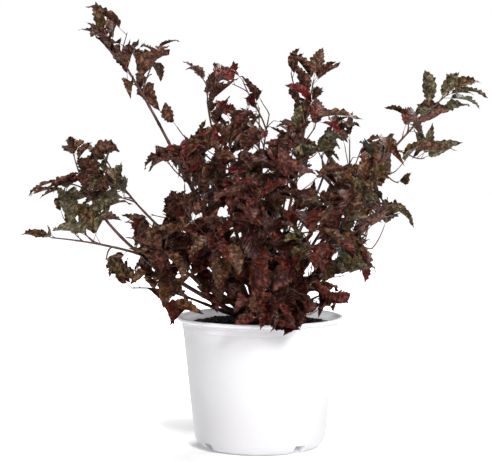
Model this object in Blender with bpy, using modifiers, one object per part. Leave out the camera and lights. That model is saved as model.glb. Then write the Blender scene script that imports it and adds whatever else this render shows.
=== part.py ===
"""A purple-leaved ninebark shrub in its round white nursery pot.

Metres, +Z up. The origin is the centre of the pot's flat underside, and the side with the long
bare cane leaning left faces -Y. Canes rise from one woody crown at the soil. Each carries a mass
of foliage: a three-sided stem with side shoots, and lobed leaves fused to them.
"""

import math
import random
from collections import namedtuple

import bmesh
import bpy
from mathutils import Matrix, Vector
from mathutils.bvhtree import BVHTree

GAP = 0.0003  # kept between neighbouring solids
STEM_GAP = 0.0005  # along the axis between a cane's end and its stem, whose ends are not quite level
MERGE = 0.00001  # points nearer than this are one point
UP = Vector((0, 0, 1))

# Pot: thin moulded wall with a flared lip, a band under it and a rounded foot with drain notches
POT_HEIGHT = 0.181
LIP_RADIUS = 0.1145
LIP_THICKNESS = 0.0040
LIP_FLAT = 0.0035  # width of the lip's flat top
LIP_ROUND = 0.0010
BAND_TOP = 0.1725
BAND_RADIUS = 0.1080
BAND_BOTTOM = 0.1645
BODY_TOP_RADIUS = 0.1066
BODY_BOTTOM_RADIUS = 0.0893
FOOT_RADIUS = 0.0200  # rounding between wall and underside
WALL = 0.0022
POT_STEPS = 30
FOOT_STEPS = 4
NOTCH_ANGLES = (-54, 37, 126, 217)  # degrees from the front, seen from above
NOTCH_WIDTH = 0.017
NOTCH_HEIGHT = 0.0125
NOTCH_INNER_RADIUS = 0.0735  # from here outwards the notch cuts the foot away
NOTCH_LENGTH = 0.030

# Soil: moist dark mix filled to a finger's width under the lip
SOIL_TOP = 0.171
SOIL_CROWN = 0.003  # how much higher the middle is than the edge
SOIL_FLAT = 0.038  # radius of the flat middle that the woody crown stands on
SOIL_SHOULDER = 0.090  # radius where the soil turns down to the wall

# Woody crown: a squat dome with a flare at the soil, from which every cane leaves square
CROWN_RADIUS = 0.030
CROWN_HEIGHT = 0.019
CROWN_FLARE = 0.034
CROWN_STEPS = 16
CROWN_ARC = 5
CROWN_FOOT = SOIL_TOP + SOIL_CROWN + GAP
CROWN_MIDDLE = CROWN_FOOT + 0.003
CANE_SPACING = 0.0098  # least distance between cane feet on the dome
SPREAD_ROUNDS = 400  # of pushing the feet apart
LOWEST_FOOT = 0.0035  # least height of a cane's foot over the dome's middle

# Canes
CANE_FOOT_RADIUS = 0.0034
CANE_END_RADIUS = 0.0019
CURVE_ARM = 0.36  # length of a curve's control arms as a share of its span
CANE_POINTS = 5

# Twigs and leaves
STEM_RADIUS = 0.0024
FORK_RADIUS = 0.0015
TIP_RADIUS = 0.0012
SHOOT_SEGMENT = 0.055  # a twig has about one straight piece for each such length
TURN = math.radians(137.5)  # from one leaf or side shoot to the next, round the stem
LEAF_SPACING = 0.0245
TOWARD_TIP = 0.7  # under 1, leaves crowd toward a twig's tip
LEAF_TRIES = 7
LEAF_CLEAR = 0.0004
MOST_CORNERS = 60  # of a solid whose own corners are measured against a new shape
LOWEST_LEAF = 0.142
SHOOT_ANGLE = math.radians(48)
SHOOT_LONGEST = 0.085
FORK_LEAN = 0.4  # how much a side shoot starts along its parent
FORK_LIFT = 0.35  # how much it ends upwards
BARE_START = 0.10  # share of a stem's length below its first leaf
BARE_START_CROWN = 0.26  # the same where the stem leaves the crown
BARE_FORK = 0.38  # the same on a side shoot
ROOT_DEPTH = 0.0016  # how far the last leaf's root lies inside its twig
ROOT_SHARE = 0.3  # half the width of a leaf's root as a share of its twig's radius

# A leaf by shares of its length from root to tip: (along, across) of its lobes and bays
LOBE = (0.56, 0.285)
BAY = (0.65, 0.135)
MIDDLE = 0.54
THICKNESS = 0.016

# tip: where the branch ends, in metres; rise and finish: pitch in degrees at foot and tip;
# bare: share of the cane with no leaves; leaf: length with its stalk; side: shoots by the rule;
# forks: (share of the branch, tip) of the shoots that show in the outline
Limb = namedtuple("Limb", "name tip rise finish bare leaf side tint forks")
LIMBS = (
    Limb("upper_left", (-0.208, -0.030, 0.565), 68, 57, 0.70, 0.058, 0, "bronze",
         ((0.78, (-0.142, 0.010, 0.547)), (0.74, (-0.176, -0.055, 0.517)))),
    Limb("centre_left_top", (-0.075, 0.020, 0.508), 76, 86, 0.52, 0.060, 1, "wine",
         ((0.60, (-0.112, -0.030, 0.440)),)),
    Limb("centre_top", (0.018, -0.020, 0.482), 84, 70, 0.48, 0.052, 2, "wine",
         ((0.84, (-0.024, -0.030, 0.505)),)),
    Limb("right_centre_top", (0.073, -0.010, 0.505), 78, 80, 0.50, 0.058, 1, "wine",
         ((0.80, (0.043, 0.020, 0.516)), (0.70, (0.098, -0.030, 0.478)))),
    Limb("right_centre_side", (0.105, 0.060, 0.447), 68, 86, 0.52, 0.052, 1, "bronze",
         ((0.72, (0.086, 0.020, 0.400)),)),
    Limb("right_long", (0.254, -0.030, 0.486), 54, 42, 0.60, 0.064, 0, "bronze",
         ((0.66, (0.165, -0.070, 0.430)), (0.72, (0.228, 0.020, 0.398)),
          (0.63, (0.186, -0.045, 0.366)), (0.80, (0.205, 0.010, 0.452)))),
    Limb("right_mid", (0.176, -0.090, 0.340), 42, 30, 0.40, 0.064, 2, "maroon", ()),
    Limb("right_lower", (0.168, 0.020, 0.293), 32, 22, 0.38, 0.058, 2, "maroon", ()),
    Limb("left_low", (-0.176, -0.080, 0.226), 20, -4, 0.38, 0.054, 1, "maroon",
         ((0.62, (-0.122, -0.112, 0.212)),)),
    Limb("left_mid", (-0.282, -0.050, 0.292), 36, 6, 0.60, 0.066, 1, "bronze",
         ((0.80, (-0.258, -0.022, 0.326)), (0.72, (-0.208, -0.068, 0.262)))),
    Limb("left_upper", (-0.216, 0.050, 0.396), 44, 62, 0.60, 0.062, 1, "olive",
         ((0.74, (-0.212, 0.018, 0.352)),)),
    Limb("left_outer", (-0.258, 0.006, 0.408), 36, 78, 0.66, 0.058, 1, "maroon",
         ((0.78, (-0.272, -0.022, 0.356)),)),
    Limb("mid_left_high", (-0.104, -0.070, 0.402), 60, 72, 0.34, 0.058, 3, "wine", ()),
    Limb("mid_left", (-0.122, -0.100, 0.340), 50, 46, 0.32, 0.060, 3, "purple", ()),
    Limb("mid_left_low", (-0.138, -0.128, 0.282), 34, 24, 0.34, 0.056, 2, "purple", ()),
    Limb("centre_front", (-0.048, -0.075, 0.420), 72, 74, 0.30, 0.060, 3, "wine", ()),
    Limb("front_right", (0.052, -0.138, 0.356), 58, 52, 0.28, 0.060, 3, "purple", ()),
    Limb("mid_right", (0.112, -0.128, 0.322), 46, 40, 0.32, 0.062, 3, "maroon", ()),
    Limb("centre_right", (0.046, -0.062, 0.430), 74, 78, 0.32, 0.058, 3, "maroon", ()),
    Limb("back_left_high", (-0.120, 0.160, 0.420), 58, 66, 0.45, 0.062, 2, "bronze", ()),
    Limb("back_centre", (0.000, 0.150, 0.470), 68, 74, 0.45, 0.062, 2, "wine", ()),
    Limb("back_right_high", (0.150, 0.150, 0.410), 52, 62, 0.48, 0.062, 2, "maroon", ()),
    Limb("back_left_low", (-0.165, 0.180, 0.290), 34, 22, 0.48, 0.060, 2, "purple", ()),
    Limb("back_right_low", (0.165, 0.180, 0.285), 34, 26, 0.48, 0.060, 2, "maroon", ()),
    Limb("back_low", (-0.010, 0.235, 0.300), 38, 24, 0.48, 0.060, 2, "purple", ()),
    # These have no cane: their stem leaves the crown
    Limb("front_left", (-0.062, -0.165, 0.312), 44, 40, 0.0, 0.060, 2, "purple", ()),
    Limb("front_centre", (-0.006, -0.148, 0.352), 56, 52, 0.0, 0.062, 3, "maroon", ()),
    Limb("front_low", (0.018, -0.150, 0.218), 22, -4, 0.0, 0.056, 3, "maroon", ()),
    Limb("right_low", (0.104, -0.084, 0.220), 20, -2, 0.0, 0.056, 2, "maroon", ()),
    Limb("back_side", (0.070, 0.090, 0.330), 52, 50, 0.0, 0.060, 2, "bronze", ()),
)
TINTS = {
    "bronze": (0.115, 0.060, 0.040), "wine": (0.150, 0.030, 0.035), "maroon": (0.080, 0.028, 0.028),
    "olive": (0.105, 0.085, 0.030), "purple": (0.075, 0.035, 0.045),
}

Shoot = namedtuple("Shoot", "points radii leaf_from leaf")


def material(name, colour, roughness, metallic=0.0):
    """A Principled material with a linear colour."""
    made = bpy.data.materials.new(name)
    made.use_nodes = True
    shader = made.node_tree.nodes["Principled BSDF"]
    shader.inputs["Base Color"].default_value = (*colour, 1)
    shader.inputs["Roughness"].default_value = roughness
    shader.inputs["Metallic"].default_value = metallic
    return made


def add_object(name, data, collection, finish=None):
    """A named object in a collection, with its material."""
    made = bpy.data.objects.new(name, data)
    collection.objects.link(made)
    if finish:
        data.materials.clear()
        data.materials.append(finish)
    return made


def turned(name, profile, steps, collection, finish):
    """A closed shape turned about Z from (radius, height) points that run down its outer side."""
    mesh = bpy.data.meshes.new(name)
    points = [(radius, 0, height) for radius, height in profile]
    edges = [(at, at + 1) for at in range(len(profile) - 1)]
    mesh.from_pydata(points, edges, [])
    made = add_object(name, mesh, collection, finish)
    screw = made.modifiers.new("Turn", "SCREW")
    screw.steps = screw.render_steps = steps
    screw.use_merge_vertices = True
    screw.merge_threshold = MERGE
    return made


def wall_slope():
    """How much the body's radius grows for each metre up."""
    return (BODY_TOP_RADIUS - BODY_BOTTOM_RADIUS) / (BAND_BOTTOM - FOOT_RADIUS)


def inner_radius(height):
    """Radius of the pot's inside at a height between its foot and its band."""
    return BODY_BOTTOM_RADIUS - WALL + (height - FOOT_RADIUS) * wall_slope()


def pot_profile():
    """From the middle of the inside floor up the inside, over the lip, and down the outside."""
    inside = [(0, WALL), (inner_radius(FOOT_RADIUS) - FOOT_RADIUS + WALL, WALL)]
    inside += [(inner_radius(FOOT_RADIUS), FOOT_RADIUS)]
    inside += [(inner_radius(BAND_BOTTOM), BAND_BOTTOM)]
    inside += [(BAND_RADIUS - WALL + 0.0008, BAND_TOP), (LIP_RADIUS - LIP_FLAT, POT_HEIGHT)]
    lip = [(LIP_RADIUS - LIP_ROUND, POT_HEIGHT), (LIP_RADIUS, POT_HEIGHT - LIP_ROUND)]
    lip += [(LIP_RADIUS, POT_HEIGHT - LIP_THICKNESS)]
    lip += [(LIP_RADIUS - LIP_FLAT, POT_HEIGHT - LIP_THICKNESS - LIP_ROUND)]
    band = [(BAND_RADIUS, BAND_TOP), (BAND_RADIUS, BAND_BOTTOM + LIP_ROUND)]
    band += [(BODY_TOP_RADIUS, BAND_BOTTOM)]
    foot = []
    for step in range(FOOT_STEPS + 1):
        angle = math.radians(90) * step / FOOT_STEPS
        radius = BODY_BOTTOM_RADIUS - FOOT_RADIUS * (1 - math.cos(angle))
        foot.append((radius, FOOT_RADIUS * (1 - math.sin(angle))))
    return inside + lip + band + foot + [(0, 0)]


def pot(collection, cutters, finish):
    """The turned pot with four drain notches in its foot."""
    made = turned("pot", pot_profile(), POT_STEPS, collection, finish)
    away = NOTCH_INNER_RADIUS + NOTCH_LENGTH / 2
    for angle in NOTCH_ANGLES:
        turn = math.radians(angle)
        mesh = bpy.data.meshes.new("notch")
        shape = bmesh.new()
        bmesh.ops.create_cube(shape, size=1)
        bmesh.ops.scale(shape, vec=(NOTCH_WIDTH, NOTCH_LENGTH, 2 * NOTCH_HEIGHT), verts=shape.verts)
        shape.to_mesh(mesh)
        shape.free()
        cutter = add_object(f"notch_{angle}", mesh, cutters)
        cutter.location = (away * math.sin(turn), -away * math.cos(turn), 0)
        cutter.rotation_euler = (0, 0, turn)
        cutter.hide_render = True
        cutter.display_type = "WIRE"
        cut = made.modifiers.new(f"Notch {angle}", "BOOLEAN")
        cut.operation = "DIFFERENCE"
        cut.solver = "EXACT"
        cut.object = cutter
    return made


def soil(collection, finish):
    """Potting mix that fills the pot, a little higher round the crown."""
    floor = WALL + GAP
    foot = inner_radius(FOOT_RADIUS) - GAP
    top = SOIL_TOP + SOIL_CROWN
    profile = [(0, top), (SOIL_FLAT, top), (SOIL_SHOULDER, SOIL_TOP - SOIL_CROWN / 2)]
    profile += [(inner_radius(BAND_BOTTOM) - 1.5 * GAP, BAND_BOTTOM)]
    profile += [(foot, FOOT_RADIUS), (foot - FOOT_RADIUS + WALL, floor), (0, floor)]
    return turned("soil", profile, POT_STEPS, collection, finish)


def crown(collection, finish):
    """The squat dome of old wood, cut flat at the soil, with its flare."""
    profile = []
    for step in range(CROWN_ARC + 1):
        angle = math.radians(90) * step / CROWN_ARC
        height = CROWN_MIDDLE + CROWN_HEIGHT * math.cos(angle)
        profile.append((CROWN_RADIUS * math.sin(angle), height))
    profile += [(CROWN_FLARE, CROWN_FOOT), (0, CROWN_FOOT)]
    return turned("root_crown", profile, CROWN_STEPS, collection, finish)


def dome_point(direction):
    """The dome's point whose surface faces a direction."""
    wide, tall = CROWN_RADIUS**2, CROWN_HEIGHT**2
    scaled = Vector((wide * direction.x, wide * direction.y, tall * direction.z))
    return scaled / math.sqrt(scaled.dot(direction))


def dome_normal(point):
    """The way that the dome's surface faces at a point on it."""
    wide, tall = CROWN_RADIUS**2, CROWN_HEIGHT**2
    return Vector((point.x / wide, point.y / wide, point.z / tall)).normalized()


def cane_feet():
    """Foot and heading of each limb on the dome, pushed apart until no two are near."""
    points = []
    for limb in LIMBS:
        level = Vector((limb.tip[0], limb.tip[1], 0)).normalized()
        rise = math.radians(limb.rise)
        points.append(dome_point(level * math.cos(rise) + UP * math.sin(rise)))
    for _ in range(SPREAD_ROUNDS):
        for at, first in enumerate(points):
            for other in range(at):
                away = first - points[other]
                short = CANE_SPACING - away.length
                if short > 0:
                    step = away.normalized() * (short * 0.5)
                    points[at] = first = first + step
                    points[other] = points[other] - step
        for at, point in enumerate(points):
            point.z = max(point.z, LOWEST_FOOT)
            points[at] = dome_point(dome_normal(point))
            points[at].z = max(points[at].z, LOWEST_FOOT)
    middle = Vector((0, 0, CROWN_MIDDLE))
    feet = []
    for point in points:
        normal = dome_normal(point)
        feet.append((middle + point + normal * GAP, normal))
    return feet


def curve_point(ends, share):
    """A point of the cubic curve with four control points, and its heading there."""
    a, b, c, d = ends
    rest = 1 - share
    place = a * rest**3 + b * 3 * rest**2 * share + c * 3 * rest * share**2 + d * share**3
    slope = (b - a) * rest**2 + (c - b) * 2 * rest * share + (d - c) * share**2
    return place, slope.normalized()


def share_past(ends, share, distance):
    """The share of a curve that lies a small distance past another share."""
    step = 0.001
    pace = (curve_point(ends, share + step)[0] - curve_point(ends, share)[0]).length / step
    return share + distance / pace


def limb_curve(limb, foot, normal):
    """Control points of a limb's axis, square to the crown and at its own pitch at the tip."""
    tip = Vector(limb.tip)
    level = Vector((tip.x - foot.x, tip.y - foot.y, 0)).normalized()
    finish = math.radians(limb.finish)
    heading = level * math.cos(finish) + UP * math.sin(finish)
    reach = (tip - foot).length * CURVE_ARM
    return (foot, foot + normal * reach, tip - heading * reach, tip)


def along(ends, start, end, count):
    """Points at even shares of a curve from start to end."""
    return [curve_point(ends, start + (end - start) * at / (count - 1))[0] for at in range(count)]


def blend(first, last, share):
    """A value between two others."""
    return first + (last - first) * share


def cane(name, points, collection, finish):
    """A tapering cane as a round curve with filled ends."""
    data = bpy.data.curves.new(name, "CURVE")
    data.dimensions = "3D"
    data.bevel_depth = CANE_FOOT_RADIUS
    data.bevel_resolution = 1
    data.use_fill_caps = True
    line = data.splines.new("POLY")
    line.points.add(len(points) - 1)
    for at, (control, point) in enumerate(zip(line.points, points)):
        control.co = (*point, 1)
        share = at / (len(points) - 1)
        control.radius = blend(1, CANE_END_RADIUS / CANE_FOOT_RADIUS, share)
    return add_object(name, data, collection, finish)


def twig(points, radii):
    """A three-sided tapering twig, closed at both ends, as points and faces."""
    heading = (points[1] - points[0]).normalized()
    side = heading.orthogonal().normalized()
    rings = []
    for at, (point, radius) in enumerate(zip(points, radii)):
        before, after = points[max(at - 1, 0)], points[min(at + 1, len(points) - 1)]
        heading = (after - before).normalized()
        side = (side - heading * side.dot(heading)).normalized()
        across = heading.cross(side)
        for corner in range(3):
            angle = math.radians(120) * corner
            rings.append(point + (side * math.cos(angle) + across * math.sin(angle)) * radius)
    faces = [(2, 1, 0), tuple(range(len(rings) - 3, len(rings)))]
    for at in range(len(points) - 1):
        for corner in range(3):
            low, low_next = 3 * at + corner, 3 * at + (corner + 1) % 3
            faces += [(low, low_next, low_next + 3), (low, low_next + 3, low + 3)]
    return rings, faces


def leaf(root, heading, top, length, half_root, droop, fold):
    """A three-lobed leaf: a keeled blade with its root end square, as points and faces."""
    across = top.cross(heading).normalized()
    top = heading.cross(across)

    def place(forward, aside, lift=0.0):
        sag = fold * abs(aside) - droop * forward**2 + lift
        return root + (heading * forward + across * aside + top * sag) * length

    edge = half_root / length
    points = [place(0, edge), place(*LOBE), place(*BAY), place(1, 0)]
    points += [place(BAY[0], -BAY[1]), place(LOBE[0], -LOBE[1]), place(0, -edge)]
    points += [place(0, 0, -1.4 * edge), place(MIDDLE, 0, THICKNESS / 2)]
    points += [place(MIDDLE, 0, -THICKNESS / 2)]
    keel, upper, lower = 7, 8, 9
    faces = [(at + 1, at, upper) for at in range(6)] + [(0, 6, upper)]
    faces += [(at, at + 1, lower) for at in range(6)]
    faces += [(keel, 0, lower), (6, keel, lower), (6, 0, keel)]
    return points, faces


class Space:
    """Every solid made so far, to keep new twigs and leaves clear of them."""

    def __init__(self):
        self.solids = []

    def add(self, points, faces):
        """Takes a solid in and returns its number."""
        low, high = bounds_of(points)
        self.solids.append((BVHTree.FromPolygons(points, faces), low, high, points))
        return len(self.solids) - 1

    def clear(self, points, faces, skip=(), near=()):
        """True where the shape keeps LEAF_CLEAR from every solid but those in skip.

        It may come nearer than that to those in near, but not touch them.
        """
        low, high = bounds_of(points)
        tree = BVHTree.FromPolygons(points, faces)
        for at, (other, other_low, other_high, other_points) in enumerate(self.solids):
            if at in skip:
                continue
            if any(low[i] > other_high[i] or high[i] < other_low[i] for i in range(3)):
                continue
            if tree.overlap(other):
                return False
            if at in near:
                continue
            if any(other.find_nearest(point, LEAF_CLEAR)[0] for point in points):
                return False
            if len(other_points) > MOST_CORNERS:
                continue
            if any(tree.find_nearest(point, LEAF_CLEAR)[0] for point in other_points):
                return False
        return True


def bounds_of(points):
    """Low and high corner of a box round the points, LEAF_CLEAR wider on each side."""
    low = [min(point[i] for point in points) - LEAF_CLEAR for i in range(3)]
    high = [max(point[i] for point in points) + LEAF_CLEAR for i in range(3)]
    return low, high


def add_evaluated(space, made):
    """Adds an object's finished mesh to the space."""
    shown = made.evaluated_get(bpy.context.evaluated_depsgraph_get())
    mesh = shown.to_mesh()
    faces = [tuple(face.vertices) for face in mesh.polygons]
    added = space.add([vertex.co.copy() for vertex in mesh.vertices], faces)
    shown.to_mesh_clear()
    return added


def shoot(ends, start, end, first, last, leaf_from, leaf_length):
    """A twig along part of a curve."""
    length = (ends[3] - ends[0]).length * (end - start)
    count = max(3, 1 + round(length / SHOOT_SEGMENT))
    points = along(ends, start, end, count)
    radii = [blend(first, last, at / (count - 1)) for at in range(count)]
    return Shoot(points, radii, leaf_from, leaf_length)


def nearest_on(points, place):
    """The point of a twig's straight pieces that is nearest to a place."""
    best = None
    for start, end in zip(points, points[1:]):
        along_piece = (place - start).dot(end - start) / (end - start).length_squared
        found = start.lerp(end, min(max(along_piece, 0), 1))
        if best is None or (found - place).length < (best - place).length:
            best = found
    return best


def fork_curve(place, heading, tip):
    """A side shoot's axis: off at an angle from its parent and then up to its tip."""
    arm = (tip - place).length * CURVE_ARM
    straight = (tip - place).normalized()
    start = (straight + heading * FORK_LEAN).normalized()
    end = (straight + UP * FORK_LIFT).normalized()
    return (place, place + start * arm, tip - end * arm, tip)


def side_shoot(place, heading, tip, leaf_length):
    """A twig from a place on its parent to its own tip."""
    ends = fork_curve(place, heading, tip)
    return shoot(ends, 0, 1, FORK_RADIUS, TIP_RADIUS, BARE_FORK, leaf_length)


def side_tip(place, heading, angle, length):
    """Tip of a shoot that leaves a stem at an angle round it, and turns up a little."""
    side = heading.orthogonal().normalized()
    side = Matrix.Rotation(angle, 3, heading) @ side
    way = heading * math.cos(SHOOT_ANGLE) + side * math.sin(SHOOT_ANGLE) + UP * 0.15
    return place + way.normalized() * length


def shoots_of(limb, ends):
    """Main stem and side shoots of a limb's mass, the stem first."""
    chance = random.Random(LIMBS.index(limb))
    start = share_past(ends, limb.bare, STEM_GAP) if limb.bare else 0
    leafless = BARE_START if limb.bare else BARE_START_CROWN
    made = [shoot(ends, start, 1, STEM_RADIUS, TIP_RADIUS, leafless, limb.leaf)]
    for share, tip in limb.forks:
        place, heading = curve_point(ends, share)
        place = nearest_on(made[0].points, place)
        made.append(side_shoot(place, heading, Vector(tip), limb.leaf))
    stem_length = (ends[3] - ends[0]).length * (1 - start)
    angle = chance.uniform(0, 2 * math.pi)
    for at in range(limb.side):
        within = blend(leafless + 0.08, 0.80, (at + 0.5) / limb.side)
        share = blend(start, 1, within)
        place, heading = curve_point(ends, share)
        place = nearest_on(made[0].points, place)
        length = min(SHOOT_LONGEST, stem_length * blend(0.55, 0.32, within))
        length *= chance.uniform(0.85, 1.1)
        tip = side_tip(place, heading, angle, length)
        angle += TURN
        made.append(side_shoot(place, heading, tip, limb.leaf))
    return made


def leaf_places(twig_shoot, angle):
    """(place, heading, angle, radius, last) of each leaf up a twig, the last at its tip."""
    points, radii = twig_shoot.points, twig_shoot.radii
    lengths = [(b - a).length for a, b in zip(points, points[1:])]
    total = sum(lengths)
    first = total * twig_shoot.leaf_from
    count = max(1, round((total - first) / LEAF_SPACING))
    found = []
    for at in range(count):
        distance = first + (total - first) * (at / count) ** TOWARD_TIP
        share = distance / total
        for start, end, length in zip(points, points[1:], lengths):
            if distance <= length:
                found.append((start.lerp(end, distance / length), (end - start).normalized(),
                              angle, blend(radii[0], radii[-1], share), False))
                break
            distance -= length
        angle += TURN
    heading = (points[-1] - points[-2]).normalized()
    found.append((points[-1] - heading * ROOT_DEPTH, heading, angle, radii[-1], True))
    return found


def leaf_try(place, heading, angle, radius, last, length, chance):
    """One leaf for a place, with small chances in its pitch, roll, fold and size."""
    side = Matrix.Rotation(angle, 3, heading) @ heading.orthogonal().normalized()
    spread = math.radians(chance.uniform(6, 16) if last else chance.uniform(48, 72))
    way = heading * math.cos(spread) + side * math.sin(spread)
    if not last:
        way = way + UP * chance.uniform(-0.10, 0.30)
    way.normalize()
    top = heading * (0.0 if last else 0.6) + UP - side * (0.5 if last else 0)
    top = top - way * top.dot(way)
    if top.length < 0.05:
        top = way.orthogonal()
    top.normalize()
    top = Matrix.Rotation(math.radians(chance.uniform(-32, 32)), 3, way) @ top
    size = length * chance.uniform(0.88, 1.12)
    droop = chance.uniform(0.05, 0.30)
    fold = chance.uniform(0.15, 0.55)
    return leaf(place, way, top, size, radius * ROOT_SHARE, droop, fold)


def leaf_seed(limb, twig_at):
    """First of the seeds for the leaves of one twig, at most 50 of them."""
    return LIMBS.index(limb) * 1000 + twig_at * 50


def blade_only(points, faces):
    """The leaf without the faces at its root, which lie in the twig."""
    roots = {0, 6, 7}
    return points, [face for face in faces if not roots & set(face)]


def grow_leaves(space, twig_shoot, own, seed):
    """Leaves up one twig that touch nothing but the twig they grow from."""
    kept = []
    tree = space.solids[own][0]
    first_turn = random.Random(seed).uniform(0, 2 * math.pi)
    for at, (place, heading, angle, radius, last) in enumerate(leaf_places(twig_shoot, first_turn)):
        chance = random.Random(seed + 1 + at)
        for attempt in range(LEAF_TRIES):
            turn = angle + attempt * math.radians(40)
            length = twig_shoot.leaf * (1 - 0.06 * attempt)
            points, faces = leaf_try(place, heading, turn, radius, last, length, chance)
            if min(point.z for point in points) < LOWEST_LEAF:
                continue
            if BVHTree.FromPolygons(*blade_only(points, faces)).overlap(tree):
                continue
            if space.clear(points, faces, skip=(own,)):
                space.add(points, faces)
                kept.append((points, faces))
                break
    return kept


def mesh_object(name, shape, collection):
    """An object from a shape's points and faces."""
    mesh = bpy.data.meshes.new(name)
    mesh.from_pydata([tuple(point) for point in shape[0]], [], shape[1])
    return add_object(name, mesh, collection)


def fuse(name, shapes, collection, finish):
    """One solid from a stem and all that is fused to it."""
    base = mesh_object(name, shapes[0], collection)
    if len(shapes) == 1:
        base.data.materials.append(finish)
        return base
    loose = bpy.data.collections.new(f"{name} pieces")
    bpy.context.scene.collection.children.link(loose)
    for at, shape in enumerate(shapes[1:]):
        mesh_object(f"{name}_piece_{at}", shape, loose)
    join = base.modifiers.new("Join", "BOOLEAN")
    join.operation = "UNION"
    join.solver = "EXACT"
    join.operand_type = "COLLECTION"
    join.collection = loose
    shown = base.evaluated_get(bpy.context.evaluated_depsgraph_get())
    joined = bpy.data.meshes.new_from_object(shown)
    base.modifiers.clear()
    base.data = joined
    joined.materials.clear()
    joined.materials.append(finish)
    for piece in list(loose.objects):
        bpy.data.objects.remove(piece)
    bpy.data.collections.remove(loose)
    return base


def clear_scene():
    """Removes whatever the scene holds at the start."""
    for made in list(bpy.data.objects):
        bpy.data.objects.remove(made)


def grow_canes(space, crown_at, collection, finish):
    """Each limb's curve, and the number in the space of the cane or crown that its stem meets."""
    curves = []
    holders = []
    for limb, (foot, normal) in zip(LIMBS, cane_feet()):
        ends = limb_curve(limb, foot, normal)
        curves.append(ends)
        if limb.bare:
            points = along(ends, 0, limb.bare, CANE_POINTS)
            made = cane(f"cane_{limb.name}", points, collection, finish)
            holders.append(add_evaluated(space, made))
        else:
            holders.append(crown_at)
    return curves, holders


def grow_twigs(space, limb, ends, holder):
    """The stem and side shoots of a mass that touch no other limb, each with its own number."""
    kept = []
    for at, made in enumerate(shoots_of(limb, ends)):
        shape = twig(made.points, made.radii)
        skip = (kept[0][3],) if kept else ()
        near = () if kept else (holder,)
        if space.clear(*shape, skip, near):
            kept.append((at, made, shape, space.add(*shape)))
    return kept


def grow_mass(space, limb, twigs, collection, finish):
    """One mass of foliage: its twigs and their leaves as one solid."""
    shapes = [shape for _, _, shape, _ in twigs]
    for at, made, _, own in twigs:
        shapes += grow_leaves(space, made, own, leaf_seed(limb, at))
    fuse(f"leaves_{limb.name}", shapes, collection, finish)


def main():
    clear_scene()
    plant = bpy.data.collections.new("ninebark_in_pot")
    cutters = bpy.data.collections.new("cutters")
    for group in (plant, cutters):
        bpy.context.scene.collection.children.link(group)
    bark = material("bark", (0.045, 0.016, 0.013), 0.6)
    space = Space()
    add_evaluated(space, pot(plant, cutters, material("white_plastic", (0.86, 0.84, 0.88), 0.38)))
    add_evaluated(space, soil(plant, material("potting_mix", (0.012, 0.008, 0.006), 0.95)))
    crown_at = add_evaluated(space, crown(plant, bark))
    curves, holders = grow_canes(space, crown_at, plant, bark)
    masses = [grow_twigs(space, *each) for each in zip(LIMBS, curves, holders)]
    finishes = {tint: material(f"leaves_{tint}", colour, 0.5) for tint, colour in TINTS.items()}
    for limb, twigs in zip(LIMBS, masses):
        grow_mass(space, limb, twigs, plant, finishes[limb.tint])


main()
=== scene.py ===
import math
import random
from collections import namedtuple

import bpy
import numpy as np
from mathutils import Matrix, Vector, noise
from mathutils.bvhtree import BVHTree
from mathutils.geometry import delaunay_2d_cdt


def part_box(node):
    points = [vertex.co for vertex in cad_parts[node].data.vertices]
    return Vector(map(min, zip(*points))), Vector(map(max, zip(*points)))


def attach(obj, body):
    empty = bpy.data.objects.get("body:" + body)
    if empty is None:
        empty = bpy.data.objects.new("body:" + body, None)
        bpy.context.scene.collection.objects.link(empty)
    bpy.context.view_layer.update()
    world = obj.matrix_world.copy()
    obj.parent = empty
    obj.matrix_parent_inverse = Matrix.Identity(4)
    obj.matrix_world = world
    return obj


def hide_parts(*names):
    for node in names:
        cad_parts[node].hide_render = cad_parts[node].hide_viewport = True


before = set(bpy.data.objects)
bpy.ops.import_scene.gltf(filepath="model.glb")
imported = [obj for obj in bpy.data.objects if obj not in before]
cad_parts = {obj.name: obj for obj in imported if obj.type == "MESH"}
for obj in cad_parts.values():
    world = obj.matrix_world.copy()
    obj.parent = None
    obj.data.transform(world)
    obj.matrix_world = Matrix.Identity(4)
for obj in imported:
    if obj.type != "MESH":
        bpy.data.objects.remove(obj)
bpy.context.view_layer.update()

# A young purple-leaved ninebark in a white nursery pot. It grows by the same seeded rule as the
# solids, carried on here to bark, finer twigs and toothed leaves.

UP = Vector((0, 0, 1))
GOLDEN = math.radians(137.5)  # from one leaf or side shoot to the next, round the stem

# Pot and potting mix, in metres
POT_HEIGHT = 0.181
LIP_RADIUS = 0.1145
BAND_RADIUS = 0.1080
BAND_BOTTOM = 0.1645
BODY_TOP_RADIUS = 0.1066
BODY_BOTTOM_RADIUS = 0.0893
FOOT_RADIUS = 0.0200
WALL = 0.0022
POT_SIDES = 144
NOTCH_ANGLES = (-54, 37, 126, 217)
NOTCH_WIDTH = 0.017
NOTCH_HEIGHT = 0.0125
NOTCH_INNER_RADIUS = 0.0735
NOTCH_LENGTH = 0.030
SOIL_TOP = 0.171
SOIL_CROWN = 0.003

# Woody crown and canes
CROWN_RADIUS = 0.030
CROWN_HEIGHT = 0.019
CROWN_FLARE = 0.034
CROWN_CUT = -0.157  # where the ball that the crown is made from is cut flat, its radius being 1
CROWN_FOOT = SOIL_TOP + SOIL_CROWN + 0.0003
CROWN_MIDDLE = CROWN_FOOT + 0.003
CANE_SPACING = 0.0098
SPREAD_ROUNDS = 400
LOWEST_FOOT = 0.0035
CANE_FOOT_RADIUS = 0.0034
CANE_END_RADIUS = 0.0019
CURVE_ARM = 0.36

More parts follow.
